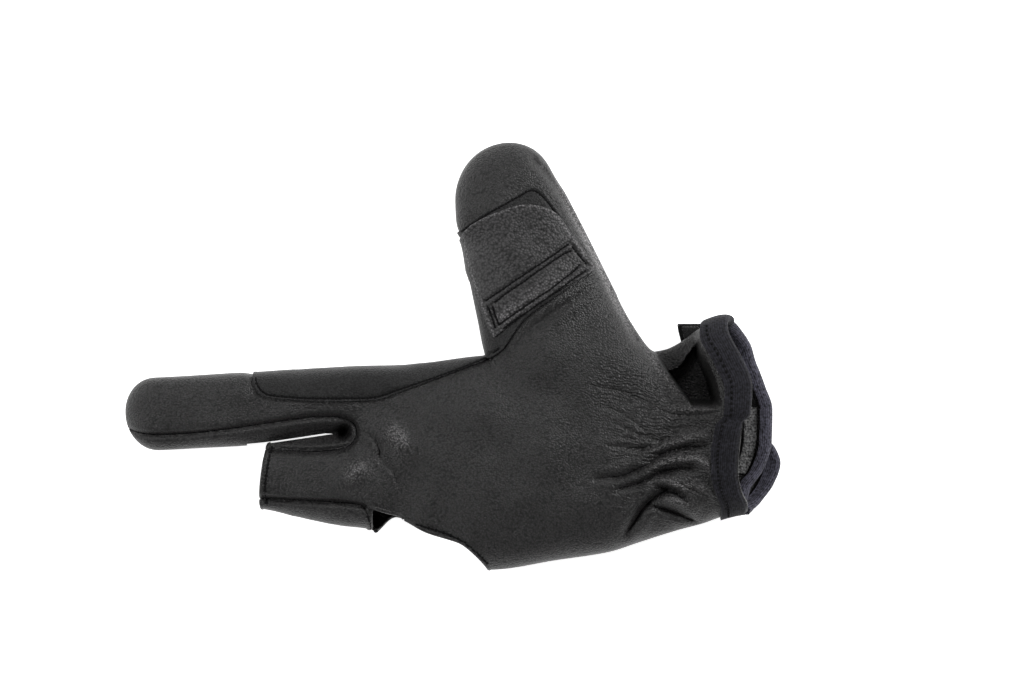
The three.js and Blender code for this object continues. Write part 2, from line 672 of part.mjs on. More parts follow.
// The origin goes under the middle of the glove.
const extent = new THREE.Box3().setFromObject(glove);
const middle = extent.getCenter(new THREE.Vector3());
glove.position.set(-middle.x, -middle.y, -extent.min.z);
export default glove;
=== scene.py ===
import json
import math

import bmesh
import bpy
import numpy as np
from mathutils import Matrix, Vector, noise
from mathutils.bvhtree import BVHTree

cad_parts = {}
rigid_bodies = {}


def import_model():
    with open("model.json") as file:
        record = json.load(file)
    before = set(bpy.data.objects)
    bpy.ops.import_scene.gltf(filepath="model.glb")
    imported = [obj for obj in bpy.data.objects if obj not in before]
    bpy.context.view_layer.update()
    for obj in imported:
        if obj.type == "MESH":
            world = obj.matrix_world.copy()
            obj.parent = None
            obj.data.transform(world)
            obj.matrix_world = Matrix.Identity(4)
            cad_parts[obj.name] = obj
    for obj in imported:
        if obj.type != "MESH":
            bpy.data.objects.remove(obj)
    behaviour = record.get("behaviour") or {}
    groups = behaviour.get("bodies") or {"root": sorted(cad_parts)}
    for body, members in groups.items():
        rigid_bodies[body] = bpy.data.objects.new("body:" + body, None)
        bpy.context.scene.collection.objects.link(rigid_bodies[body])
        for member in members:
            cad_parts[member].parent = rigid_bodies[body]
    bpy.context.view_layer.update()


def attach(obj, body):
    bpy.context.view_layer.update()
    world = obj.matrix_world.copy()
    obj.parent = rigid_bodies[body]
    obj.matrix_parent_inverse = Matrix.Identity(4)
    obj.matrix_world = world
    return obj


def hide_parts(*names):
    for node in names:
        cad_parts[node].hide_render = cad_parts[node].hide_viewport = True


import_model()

# The form of the whole glove as it lies: a flat-backed, softly crowned hand with an index finger, a stub of
# the middle finger and a thumb. Every leather piece is cut from this one skin, in millimetres, and is turned
# into metres when it is finished.
HAND_WIDTH = 76
HAND_LENGTH = 153
PALM_HEIGHT = 27
INDEX_LENGTH = 81.3
INDEX_WIDTH = 26
INDEX_HEIGHT = 17
STUB_LENGTH = 31.5
STUB_WIDTH = 33
STUB_HEIGHT = 18
THUMB_LENGTH = 71.3
THUMB_WIDTH = 38
THUMB_HEIGHT = 22
STRAP_STACK = 5.1
CROTCH = np.array([-37.65, -26.3])
INDEX_ROOT = CROTCH + (0, 11.18)
STUB_ROOT = CROTCH - (0, 17.82)
THUMB_ROOT = CROTCH + (0.483 * HAND_LENGTH, 0.455 * HAND_WIDTH)
SKIN_VOXEL = 0.8
# Sections of each limb: place along it, left and right half widths, crown and floor heights, as shares.
HAND_SECTIONS = np.array([
    (0.0, 0.26, 0.43, 0.62, 0), (0.085, 0.285, 0.53, 0.7, 0), (0.18, 0.3, 0.615, 0.79, 0),
    (0.33, 0.335, 0.672, 0.9, 0), (0.49, 0.34, 0.625, 0.98, 0), (0.61, 0.34, 0.588, 1.0, 0),
    (0.68, 0.355, 0.543, 1.0, 0.15), (0.745, 0.375, 0.5, 0.98, 0.9), (0.785, 0.415, 0.476, 1.0, 1),
    (0.83, 0.48, 0.452, 1.06, 1), (0.885, 0.518, 0.413, 1.14, 1), (0.93, 0.497, 0.394, 1.18, 1),
    (1.06, 0.472, 0.378, 1.18, 1),
])
INDEX_SECTIONS = np.array([
    (-0.62, 0.2, 0.15, 0.9, 0), (-0.3, 0.38, 0.34, 1.04, 0), (0.0, 0.44, 0.4, 1.0, 0),
    (0.25, 0.5, 0.415, 0.96, 0), (0.4, 0.545, 0.42, 0.94, 0), (0.47, 0.558, 0.465, 0.97, 0),
    (0.72, 0.54, 0.478, 0.92, 0), (1.0, 0.525, 0.5, 0.82, 0),
])
STUB_SECTIONS = np.array([
    (-0.95, 0.38, 0.3, 1.1, 0), (-0.35, 0.55, 0.4, 1.06, 0), (0.0, 0.54, 0.48, 1.0, 0),
    (0.5, 0.475, 0.425, 0.92, 0), (0.9, 0.4, 0.36, 0.84, 0), (1.25, 0.37, 0.34, 0.8, 0),
])
THUMB_SECTIONS = np.array([
    (-0.55, -0.5, 0.985, 1.0, 0.72), (-0.4, 0.0, 0.9, 1.19, 0.62), (-0.24, 0.38, 0.826, 1.2, 0.45),
    (-0.1, 0.62, 0.75, 1.14, 0.25), (0.0, 0.665, 0.706, 1.08, 0.12), (0.17, 0.632, 0.654, 1.02, 0),
    (0.39, 0.586, 0.593, 0.94, 0), (0.58, 0.54, 0.535, 0.88, 0), (0.65, 0.57, 0.512, 0.87, 0),
    (0.79, 0.518, 0.455, 0.82, 0), (1.0, 0.488, 0.48, 0.68, 0),
])


def between(table, column, at):
    """Smooth values between the rows of a table, with no overshoot."""
    places, values = table[:, 0], table[:, column]
    slopes = np.diff(values) / np.diff(places)
    product, total = slopes[:-1] * slopes[1:], slopes[:-1] + slopes[1:]
    tangents = np.zeros(len(values))
    tangents[1:-1] = np.where(product > 0, 2 * product / np.where(product > 0, total, 1), 0)
    at = np.clip(at, places[0], places[-1])
    i = np.clip(np.searchsorted(places, at, side="right") - 1, 0, len(places) - 2)
    span = places[i + 1] - places[i]
    t = (at - places[i]) / span
    curve = values[i] * (1 + 2 * t) * (1 - t) ** 2 + values[i + 1] * t * t * (3 - 2 * t)
    return curve + span * (tangents[i] * t * (1 - t) ** 2 - tangents[i + 1] * t * t * (1 - t))


def object_from(name, bm):
    mesh = bpy.data.meshes.new(name)
    bm.to_mesh(mesh)
    bm.free()
    return linked(name, mesh)


def linked(name, data):
    piece = bpy.data.objects.new(name, data)
    bpy.context.scene.collection.objects.link(piece)
    return piece


def opened(*pieces):
    """The pieces' meshes as one bmesh."""
    bm = bmesh.new()
    for piece in pieces:
        bm.from_mesh(piece.data)
    return bm


def settle(piece):
    """Applies a piece's modifiers to its mesh."""
    bpy.context.view_layer.update()
    evaluated = piece.evaluated_get(bpy.context.evaluated_depsgraph_get())
    mesh = bpy.data.meshes.new_from_object(evaluated)
    piece.modifiers.clear()
    piece.data = mesh
    return piece


def limb(sections, root, heading, length, width, height, floor_unit, start, end, tip=0, heel=0):
    """A closed, crowned form lying flat, from a table of its sections."""
    count = int(abs(end - start) * length / 1.2)
    around = 96
    ends = np.linspace(0, 1, count + 1)
    if tip:
        ends = 1 - (1 - ends) ** 1.6
    share = start + (end - start) * ends
    size = [between(sections, column, share) for column in range(1, 5)]
    shrink = np.ones(count + 1)
    if tip:
        shrink *= np.sqrt(1 - np.clip(1 - (1 - share) * length / tip, 0, 1) ** 2)
    if heel:
        shrink *= np.sqrt(1 - np.clip(1 - share * length / heel, 0, 1) ** 2)
    shrink = np.maximum(shrink, 0.01)[:, None]
    left, right = (size[0] * width)[:, None] * shrink, (size[1] * width)[:, None] * shrink
    floor = (size[3] * floor_unit)[:, None]
    tall = (size[2] * height)[:, None] - floor
    girdle = floor + 0.42 * tall
    turn = np.linspace(0, 2 * np.pi, around + 1)
    s = np.cos(turn)[None, :]
    arch = (1 - np.abs(s) ** 2.5) ** 0.4
    over = girdle + 0.58 * tall * shrink * arch
    under = np.maximum(girdle - 0.47 * tall * shrink * arch, floor)
    z = np.where(turn[None, :] <= np.pi, over, under)
    across = (left - right) / 2 + s * (left + right) / 2
    along = (share * length)[:, None]
    x = root[0] + along * math.cos(heading) - across * math.sin(heading)
    y = root[1] + along * math.sin(heading) + across * math.cos(heading)
    bm = bmesh.new()
    bmesh.ops.create_grid(bm, x_segments=count, y_segments=around, size=1)
    for vert in bm.verts:
        i, j = round((vert.co.x + 1) / 2 * count), round((vert.co.y + 1) / 2 * around)
        vert.co = (x[i, j], y[i, j], z[i, j])
    bmesh.ops.remove_doubles(bm, verts=bm.verts, dist=0.004)
    bmesh.ops.holes_fill(bm, edges=[edge for edge in bm.edges if edge.is_boundary])
    bmesh.ops.recalc_face_normals(bm, faces=bm.faces)
    return bm


limbs = [
    limb(HAND_SECTIONS, CROTCH, 0, HAND_LENGTH, HAND_WIDTH, PALM_HEIGHT, STRAP_STACK, 0, 1.06, heel=7),
    limb(INDEX_SECTIONS, INDEX_ROOT, math.radians(184.5), INDEX_LENGTH, INDEX_WIDTH, INDEX_HEIGHT,
         INDEX_HEIGHT, -0.62, 1, tip=11.5),
    limb(STUB_SECTIONS, STUB_ROOT, math.radians(177.2), STUB_LENGTH, STUB_WIDTH, STUB_HEIGHT, STUB_HEIGHT,
         -0.95, 1.1),
    limb(THUMB_SECTIONS, THUMB_ROOT, math.radians(107.9), THUMB_LENGTH, THUMB_WIDTH, THUMB_HEIGHT,
         THUMB_HEIGHT, -0.55, 1, tip=18),
]
parts = [object_from("limb", bm) for bm in limbs]
skin = object_from("skin", opened(*parts))
for part in parts:
    bpy.data.objects.remove(part)
remesh = skin.modifiers.new("skin", "REMESH")
remesh.mode = "VOXEL"
remesh.voxel_size = SKIN_VOXEL
settle(skin)
# Slot 0 is for the skin's own faces, and slot 1 for those that a cut leaves.
skin.data.materials.append(None)
skin.data.materials.append(None)

# The narrow gap between the index finger and the stub, which are separate tubes of leather sewn together at
# their roots. The skin is relaxed where they join, and the gap is then cut through it. Places in the plan are
# given as pixels of the photograph, 0.36 mm each.
PIXEL = 0.36
MIDDLE_PIXEL = (453.5, 355.5)


def plan(*pixels):
    """Plan places in millimetres for places in the photograph."""
    return np.array([((u - MIDDLE_PIXEL[0]) * PIXEL, (MIDDLE_PIXEL[1] - v) * PIXEL) for u, v in pixels])


def places_of(piece, kind="co"):
    flat = np.empty(len(piece.data.vertices) * 3)
    piece.data.vertices.foreach_get(kind, flat)
    return flat.reshape(-1, 3)


def put_back(bm, piece):
    bm.to_mesh(piece.data)
    bm.free()


def relax(piece, rounds, chosen):
    """Smooths the chosen places of a piece."""
    bm = opened(piece)
    bm.verts.ensure_lookup_table()
    verts = [bm.verts[i] for i in np.flatnonzero(chosen)]
    for _ in range(rounds):
        bmesh.ops.smooth_vert(bm, verts=verts, factor=0.5, use_axis_x=True, use_axis_y=True, use_axis_z=True)
    put_back(bm, piece)


def closed_block(bm, height):
    """Extrudes the faces of a flat mesh into a closed block, whose faces are marked as cuts."""
    moved = bmesh.ops.extrude_face_region(bm, geom=list(bm.faces), use_keep_orig=True)["geom"]
    bmesh.ops.translate(bm, verts=[v for v in moved if isinstance(v, bmesh.types.BMVert)], vec=height)
    bmesh.ops.recalc_face_normals(bm, faces=bm.faces)
    for face in bm.faces:
        face.material_index = 1
    block = object_from("cutter", bm)
    block.data.materials.append(None)
    block.data.materials.append(None)
    return block


def prism(outline, low=-20, high=60):
    bm = bmesh.new()
    bm.faces.new([bm.verts.new((x, y, low)) for x, y in outline])
    return closed_block(bm, (0, 0, high - low))


def cut(piece, cutter, operation):
    boolean = piece.modifiers.new("cut", "BOOLEAN")
    boolean.object = cutter
    boolean.solver = "MANIFOLD"
    boolean.operation = operation
    settle(piece)


at = places_of(skin)
relax(skin, 4, np.ones(len(at), bool))
knuckles = (np.abs(at[:, 0] + 36) < 22) & (at[:, 1] < 2)
relax(skin, 24, knuckles & (at[:, 2] > 4))
thumb_joint = (at[:, 0] > 15) & (at[:, 0] < 72) & (at[:, 1] > -32) & (at[:, 1] < 22)
relax(skin, 60, thumb_joint & (at[:, 2] > 9))
gap = prism(plan((246, 444.2), (262, 442.7), (275, 441.1), (300, 437.4), (325, 433.6), (334, 434.1),
                 (325, 435.3), (300, 439), (275, 442.7), (262, 444.4), (246, 446.4)))
# The gap's walls stay as leather, unlike those of the other cuts.
for face in gap.data.polygons:
    face.material_index = 0
cut(skin, gap, "DIFFERENCE")

# The folds and creases of the soft leather, gathered at the wrist and bent at the knuckles, and the furrows
# of the seams, pressed into the skin. Each has its points in the photograph, its half width and its depth,
# with a depth below zero for a ridge.


def smooth_line(points, step=1.0):
    """A soft curve through a few plan places, as places about one step apart."""
    points = np.asarray(points, float)
    padded = np.vstack([2 * points[0] - points[1], points, 2 * points[-1] - points[-2]])
    out = []
    for a, b, c, d in zip(padded[:-3], padded[1:-2], padded[2:-1], padded[3:]):
        count = max(1, int(np.linalg.norm(c - b) / step))
        t = (np.arange(count) / count)[:, None]
        out.append(0.5 * (2 * b + (c - a) * t + (2 * a - 5 * b + 4 * c - d) * t ** 2
                          + (3 * b - a - 3 * c + d) * t ** 3))
    return np.vstack(out + [points[-1:]])


def away_from(places, line):
    """The distance of each plan place from a line, and how far along the line it is, from 0 to 1."""
    best = np.full(len(places), 1e9)
    share = np.zeros(len(places))
    lengths = np.linalg.norm(np.diff(line, axis=0), axis=1)
    done = 0
    for start, end, length in zip(line[:-1], line[1:], lengths):
        run = end - start
        t = np.clip((places - start) @ run / max(run @ run, 1e-9), 0, 1)
        distance = np.linalg.norm(places - start - t[:, None] * run, axis=1)
        nearer = distance < best
        best[nearer] = distance[nearer]
        share[nearer] = (done + t[nearer] * length) / lengths.sum()
        done += length
    return best, share


def eased(values, low, high):
    t = np.clip((values - low) / (high - low), 0, 1)
    return t * t * (3 - 2 * t)


def normals_of(piece):
    return places_of(piece, "normal")


def move_to(piece, places):
    piece.data.vertices.foreach_set("co", np.asarray(places, float).ravel())
    piece.data.update()


def tree_of(*pieces):
    bm = opened(*pieces)
    tree = BVHTree.FromBMesh(bm)
    bm.free()
    return tree


def refine(piece, low, high, least_z):
    """Splits the faces in a part of the plan, where folds are finer than the rest of the mesh."""
    bm = opened(piece)
    chosen = [edge for edge in bm.edges if all(
        low[0] < v.co.x < high[0] and low[1] < v.co.y < high[1] and v.co.z > least_z for v in edge.verts)]
    bmesh.ops.subdivide_edges(bm, edges=chosen, cuts=1, use_grid_fill=True, smooth=0.2)
    bmesh.ops.triangulate(bm, faces=[face for face in bm.faces if len(face.verts) > 4])
    put_back(bm, piece)


wrist_low, wrist_high = plan((592, 534), (733, 325))
refine(skin, wrist_low, wrist_high, 9)
FOLDS = [
    ([(596, 478), (620, 476), (634, 470), (646, 465), (658, 456), (667, 451.5), (683, 448), (706, 445.5)],
     1.5, 1.6),
    ([(606, 445), (630, 447.5), (645, 447.5), (654, 445.5), (661, 440), (674, 436)], 1.1, 0.7),
    ([(600, 406), (618, 412), (630, 419), (644, 429.5), (652, 438)], 1.0, 0.45),
    ([(618, 425.5), (632, 431.5), (650, 438.5), (661, 440)], 0.9, 0.45),
    ([(618, 489), (640, 482), (648, 478), (657, 473), (669, 470), (681, 467.5), (692, 468)], 1.4, 1.9),
    ([(627, 532), (637, 517), (641, 510), (647, 503.5), (652, 499), (660, 494), (668, 489)], 1.9, 2.9),
    ([(652, 483), (664, 488), (674, 491.5), (681, 497.5), (691, 504)], 1.2, 1.4),
    ([(648, 504), (661, 508), (671, 511), (683, 516), (696, 521)], 1.5, 1.9),
    ([(674, 481.5), (686, 486.5), (695, 490), (706, 495)], 1.1, 1.1),
    ([(655, 409), (670, 413), (686, 415), (704, 414), (719, 411)], 0.9, 0.6),
    ([(662, 427), (680, 427.5), (695, 426)], 0.8, 0.35),
    ([(588, 385), (622, 392), (648, 403)], 1.0, 0.35),
    ([(646, 452), (669, 444), (686, 438), (706, 435)], 1.9, -1.5),
    ([(646, 468), (664, 461), (686, 457.5), (701, 462), (711, 473)], 2.2, -2.1),
    ([(645, 483), (658, 480), (677, 484), (695, 488), (711, 494)], 1.8, -1.7),
    ([(650, 503), (664, 499), (680, 501), (697, 505)], 1.8, -1.5),
    ([(666, 410), (688, 409), (704, 408), (719, 408)], 1.3, -0.7),
    ([(361, 431), (374, 439), (379, 448), (380, 457), (386, 465), (393, 471), (397, 480), (402, 494)],
     0.9, 1.0),
    ([(383, 455), (392, 464), (396, 472)], 0.8, 0.6),
    ([(602, 279), (584, 292), (564, 306), (544, 320), (529, 331), (518, 346)], 1.5, 0.9),
    ([(385, 424), (396, 437), (404, 452)], 3.6, -2.6),
    ([(343, 480), (354, 473), (363, 462)], 3.6, -2.6),
    ([(261, 405), (267, 412), (271, 420)], 0.7, 0.25),
    ([(269, 405), (274, 412), (278, 420)], 0.6, 0.2),
    ([(156, 423), (163, 427), (170, 432)], 0.7, 0.25),
]
# Seams, where two edges are turned in and sewn.
INDEX_SEAM = [(126, 428), (131, 431), (145, 434.5), (168, 435), (207, 432), (245, 427), (284, 421),
              (319, 417), (340, 418), (353, 424), (356, 434), (350, 444), (338, 449), (310, 451), (288, 450),
              (258, 449)]
STUB_SEAM = [(254, 498), (263, 499), (303, 501), (342, 503), (362, 506), (369, 511), (371, 545)]
THUMB_SEAM = [(533, 158), (545, 172), (555, 186), (571, 212), (587, 241), (602, 271), (618, 306), (636, 340)]
SEAMS = [(INDEX_SEAM, 1.0, 1.6), (STUB_SEAM[:6], 1.1, 2.1), (THUMB_SEAM, 1.1, 1.2)]
# Where the leather drops behind the edge of the thumb, down to the back of the wrist.
THUMB_EDGE = [(645, 336), (655, 355), (666, 371), (678, 388), (691, 406)]
CUFF_EDGE = [(700, 325), (707, 356), (717, 380), (723, 405)]
FLAP_OF_BACK = [(704, 333), (690, 352), (679, 367), (664, 372)]

at, facing = places_of(skin), normals_of(skin)
upward = eased(facing[:, 2], 0.05, 0.5)
drop = np.zeros(len(at))
for points, width, depth in FOLDS:
    away, share = away_from(at[:, :2], smooth_line(plan(*points)))
    ends = np.sqrt(np.sin(np.pi * (0.06 + 0.88 * share)))
    soft = np.exp(-(away / width) ** 2)
    crease = 0.4 * soft + 0.95 * np.exp(-away / (0.32 * width))
    crease -= 0.25 * np.exp(-((away - 1.9 * width) / width) ** 2)
    drop += depth * ends * (crease if depth > 0 else soft)
for points, width, depth in SEAMS:
    away = away_from(at[:, :2], smooth_line(plan(*points)))[0]
    drop += depth * np.exp(-(away / width) ** 2)
end_of_gap = plan((343.5, 432.5), (345, 431))
away = away_from(at[:, :2], end_of_gap)[0]
drop += 4.5 * np.exp(-(away / 1.9) ** 2)
edge = smooth_line(plan(*THUMB_EDGE))
away = away_from(at[:, :2], edge)[0]
behind = np.interp(at[:, 1], edge[::-1, 1], edge[::-1, 0]) < at[:, 0]
cuff_line = smooth_line(plan(*CUFF_EDGE))
to_cuff = np.interp(at[:, 1], cuff_line[::-1, 1], cuff_line[::-1, 0]) - at[:, 0]
flap_line = smooth_line(plan(*FLAP_OF_BACK))
past_flap = eased(at[:, 0] - np.interp(at[:, 1], flap_line[::-1, 1], flap_line[::-1, 0]), -0.2, 1.4)
bottom = eased(at[:, 1], *plan((0, 410), (0, 398))[:, 1])
pocket = behind * eased(away, 0, 1.2) * eased(to_cuff, 0.5, 4) * bottom * (0.56 + 0.27 * past_flap)
gathered = np.exp(-((at[:, 0] - 76) / 20) ** 2 - ((at[:, 1] + 32) / 22) ** 2)
ruffle = np.array([noise.noise(Vector((0.09 * x + 0.03 * y, 0.62 * y, 4))) for x, y, z in at])
swell = np.array([noise.noise(Vector((0.075 * x, 0.075 * y, 9))) for x, y, z in at])
drop += 0.9 * gathered * np.abs(ruffle) + 1.1 * swell
at[:, 2] -= drop * upward
move_to(skin, at)
skin_tree = tree_of(skin)
lifted = at[:, 2] > STRAP_STACK
at[lifted, 2] = STRAP_STACK + (at[lifted, 2] - STRAP_STACK) * (1 - pocket[lifted])
beside = np.exp(-(away / 1.5) ** 2) * bottom * upward * eased(at[:, 1], *plan((0, 425), (0, 400))[:, 1])
at[:, 2] += 0.9 * beside * ~behind
move_to(skin, at)

# The openings of the glove: the cuff's mouth, whose edge leans because the back is longer than the palm, the
# long opening for the ring and little fingers, and the stub's end. Blocks cut them out of the skin.
MOUTH_DEPTH = 24


def mouth_edge(y, z):
    """Where the leather ends at the cuff."""
    table = np.array([
        (-0.6, 0.36, 0.42), (-0.37, 0.4, 0.42), (-0.3, 0.5, 0.38), (-0.2, 0.56, 0.18), (-0.06, 0.53, 0.05),
        (0.09, 0.45, 0.04), (0.2, 0.43, 0.15), (0.33, 0.57, 0.3), (0.4, 0.68, 0.36), (0.47, 0.8, 0.5),
        (0.54, 0.9, 0.78), (0.7, 0.95, 0.92),
    ])
    across = (np.asarray(y) - CROTCH[1]) / HAND_WIDTH
    lean = eased(np.asarray(z), 8.3, 26.5)
    back = (1 - lean) * between(table, 2, across) + lean * between(table, 1, across)
    return CROTCH[0] + HAND_LENGTH - MOUTH_DEPTH * back


def beyond_mouth(offset):
    """Everything beyond the edge of the cuff, or beyond a line at some distance from it."""
    bm = bmesh.new()
    bmesh.ops.create_grid(bm, x_segments=90, y_segments=60, size=1)
    for vert in bm.verts:
        y, z = CROTCH[1] + 60 * vert.co.x, 20 + 40 * vert.co.y
        vert.co = (float(mouth_edge(y, z)) + offset, y, z)
    block = closed_block(bm, (200, 0, 0))
    flat = places_of(block)
    flat[flat[:, 0] > 150, 0] = 300
    move_to(block, flat)
    return block


def outline_of(*runs):
    """A closed outline from runs of plan places: each run is a soft curve, with corners between them."""
    return np.vstack([smooth_line(run)[:-1] for run in runs])


HEM = CROTCH + np.array([HAND_LENGTH, HAND_WIDTH]) * [
    (0.05, -0.52), (0.066, -0.481), (0.097, -0.422), (0.125, -0.422), (0.181, -0.483), (0.238, -0.519),
    (0.266, -0.54), (0.294, -0.585), (0.322, -0.645), (0.345, -0.72)]
beyond_hem = prism(outline_of(HEM, [HEM[-1], HEM[-1] - (0, 30)], [HEM[-1] - (0, 30), HEM[0] - (0, 30)],
                              [HEM[0] - (0, 30), HEM[0]]))
palm_hem = plan((366, 506.5), (377, 508.5), (388, 512), (398, 514), (404, 517), (404, 532), (366, 534))
above_hem = prism(palm_hem, low=6.5)
stub_end = prism(plan((268.5, 442.6), (264.5, 462), (262, 481), (260.8, 499), (261.5, 511), (264, 545),
                      (236, 545), (236, 451), (246, 446.3), (262, 443.8)))
mouth = beyond_mouth(0)

# The leather itself: soft black grain, half matt, with fine wrinkles where it is gathered. An edge value
# paints it lighter: painted highlights on the knuckles, the wrist ridges and the thumb's far edge, and a
# lighter line along cut edges that is partly wear and partly painted highlight. The pieces sewn on top are of
# a finer grain.
def math_node(tree, operation, first, second=0.0, third=0.0):
    node = tree.nodes.new("ShaderNodeMath")
    node.operation = operation
    for socket, value in zip(node.inputs, (first, second, third)):
        if isinstance(value, bpy.types.NodeSocket):
            tree.links.new(value, socket)
        else:
            socket.default_value = value
    return node.outputs[0]


def noise_node(tree, scale, detail):
    """A noise over a piece's own places."""
    node = tree.nodes.new("ShaderNodeTexNoise")
    tree.links.new(tree.nodes.new("ShaderNodeTexCoord").outputs["Object"], node.inputs["Vector"])
    node.inputs["Scale"].default_value = scale
    node.inputs["Detail"].default_value = detail
    return node.outputs["Fac"]


def lit_color(tree, color, factor):
    """A colour made lighter or darker by a factor."""
    node = tree.nodes.new("ShaderNodeVectorMath")
    node.operation = "SCALE"
    tree.links.new(color, node.inputs[0])
    tree.links.new(factor, node.inputs["Scale"])
    return node.outputs[0]


def attribute_node(tree, name):
    node = tree.nodes.new("ShaderNodeAttribute")
    node.attribute_name = name
    return node.outputs["Fac"]


def grain_group():
    group = bpy.data.node_groups.new("leather grain", "ShaderNodeTree")
    for name, kind, value in [
        ("Tone", "NodeSocketColor", (0.02, 0.02, 0.02, 1)), ("Dullness", "NodeSocketFloat", 0.5),
        ("Grain Scale", "NodeSocketFloat", 1000), ("Grain Depth", "NodeSocketFloat", 0.00002),
        ("Wrinkle Depth", "NodeSocketFloat", 0.0001), ("Crumple", "NodeSocketFloat", 0),
        ("Pleat", "NodeSocketFloat", 0), ("Edge", "NodeSocketFloat", 0),
    ]:
        socket = group.interface.new_socket(name, in_out="INPUT", socket_type=kind)
        socket.default_value = value
    for name, kind in [("Color", "NodeSocketColor"), ("Roughness", "NodeSocketFloat"),
                       ("Height", "NodeSocketFloat")]:
        group.interface.new_socket(name, in_out="OUTPUT", socket_type=kind)
    nodes, links = group.nodes, group.links
    given, made = nodes.new("NodeGroupInput").outputs, nodes.new("NodeGroupOutput").inputs
    where = nodes.new("ShaderNodeTexCoord").outputs["Object"]
    cells = nodes.new("ShaderNodeTexVoronoi")
    cells.feature = "F1"
    links.new(where, cells.inputs["Vector"])
    links.new(given["Grain Scale"], cells.inputs["Scale"])
    distance = cells.outputs["Distance"]
    pebble = math_node(group, "SUBTRACT", 1.0, distance)
    fine = math_node(group, "MULTIPLY_ADD", noise_node(group, 1500, 3), 0.6, pebble)
    grain = math_node(group, "MULTIPLY", fine, given["Grain Depth"])

    def pleats(direction, turn, strength):
        """Fine, nearly parallel wrinkles."""
        turned = nodes.new("ShaderNodeMapping")
        turned.inputs["Rotation"].default_value = (0, 0, math.radians(turn))
        links.new(where, turned.inputs["Vector"])
        wave = nodes.new("ShaderNodeTexWave")
        wave.bands_direction = direction
        links.new(turned.outputs["Vector"], wave.inputs["Vector"])
        for name, value in [("Scale", 260), ("Distortion", 15), ("Detail", 3), ("Detail Scale", 0.6),
                            ("Detail Roughness", 0.6)]:
            wave.inputs[name].default_value = value
        return math_node(group, "MULTIPLY", wave.outputs["Fac"], strength)

    patchy = noise_node(group, 28, 4)
    broken = math_node(group, "MULTIPLY_ADD", noise_node(group, 160, 2), 1.6, -0.3)
    wrinkles = math_node(group, "ADD", pleats("Y", 12, given["Crumple"]), pleats("X", 20, given["Pleat"]))
    wrinkles = math_node(group, "MULTIPLY", wrinkles, broken)
    folded = math_node(group, "MULTIPLY", wrinkles, given["Wrinkle Depth"])
    links.new(math_node(group, "ADD", grain, folded), made["Height"])
    dull = math_node(group, "SUBTRACT", patchy, 0.5)
    dull = math_node(group, "MULTIPLY_ADD", dull, 0.22, given["Dullness"])
    dull = math_node(group, "MULTIPLY_ADD", math_node(group, "SUBTRACT", distance, 0.4), 0.1, dull)
    links.new(dull, made["Roughness"])
    # The Edge value paints the leather lighter, speckled by the grain: painted highlights, and along cut
    # edges partly wear.
    speckle = math_node(group, "MULTIPLY_ADD", math_node(group, "POWER", pebble, 3.0), 0.7, 0.2)
    highlight_and_wear = math_node(group, "MULTIPLY", given["Edge"], speckle)
    bright = math_node(group, "MULTIPLY_ADD", highlight_and_wear, 7.0, math_node(group, "ADD", patchy, 0.5))
    bright = math_node(group, "MULTIPLY", bright, math_node(group, "MULTIPLY_ADD", fine, 2.0, -0.9))
    links.new(lit_color(group, given["Tone"], bright), made["Color"])
    return group


GRAIN = grain_group()


def new_material(name, roughness, shine):
    """A material with its node tree and its shader."""
    material = bpy.data.materials.new(name)
    material.use_nodes = True
    shader = material.node_tree.nodes["Principled BSDF"]
    shader.inputs["Roughness"].default_value = roughness
    shader.inputs["Specular IOR Level"].default_value = shine
    return material, material.node_tree, shader


def add_relief(tree, shader, height, distance=1.0):
    bump = tree.nodes.new("ShaderNodeBump")
    bump.inputs["Distance"].default_value = distance
    tree.links.new(height, bump.inputs["Height"])
    tree.links.new(bump.outputs["Normal"], shader.inputs["Normal"])


def leather_material(name, tone, dullness, shine=0.4, **values):
    material, tree, shader = new_material(name, dullness, shine)
    grain = tree.nodes.new("ShaderNodeGroup")
    grain.node_tree = GRAIN
    grain.inputs["Tone"].default_value = (*tone, 1)
    grain.inputs["Dullness"].default_value = dullness
    for socket, value in values.items():
        grain.inputs[socket.replace("_", " ").title()].default_value = value
    for attribute in ("crumple", "pleat", "edge"):
        tree.links.new(attribute_node(tree, attribute), grain.inputs[attribute.title()])
    tree.links.new(grain.outputs["Color"], shader.inputs["Base Color"])
    tree.links.new(grain.outputs["Roughness"], shader.inputs["Roughness"])
    add_relief(tree, shader, grain.outputs["Height"])
    return material


palm_leather = leather_material("soft black leather", (0.0145, 0.014, 0.0142), 0.44, grain_scale=1500,
                                grain_depth=0.00026, wrinkle_depth=0.00032)
overlay_leather = leather_material("fine black leather", (0.009, 0.0089, 0.0092), 0.5, shine=0.3,
                                   grain_scale=1700, grain_depth=0.00017, wrinkle_depth=0.0002)

# The palm, back, thumb and finger fronts, cut from one soft hide about 1.2 mm thick and sewn edge to edge.
# The opening for the ring and little fingers and the end of the stub are turned in and hemmed.
LEATHER_THICKNESS = 1.2
SEAM_GAP = 0.3
SIDE_SEAM_HEIGHT = 3.5


def widened(line, amount):
    """A line moved to its left by an amount."""
    line = np.asarray(line, float)
    run = np.gradient(line, axis=0)
    run /= np.linalg.norm(run, axis=1)[:, None]
    return line + amount * np.column_stack([-run[:, 1], run[:, 0]])


def crotch_region(extra):
    seam = widened(smooth_line(plan(*INDEX_SEAM)), extra)
    far = plan((240, 449), (240, 458), (100, 458), (100, 424))
    return prism(np.vstack([seam, far]), low=SIDE_SEAM_HEIGHT)


def stub_region(extra):
    seam = widened(smooth_line(plan(*STUB_SEAM)), extra)
    far = plan((371, 570), (236, 570), (236, 498))
    return prism(np.vstack([seam, far]), low=SIDE_SEAM_HEIGHT)


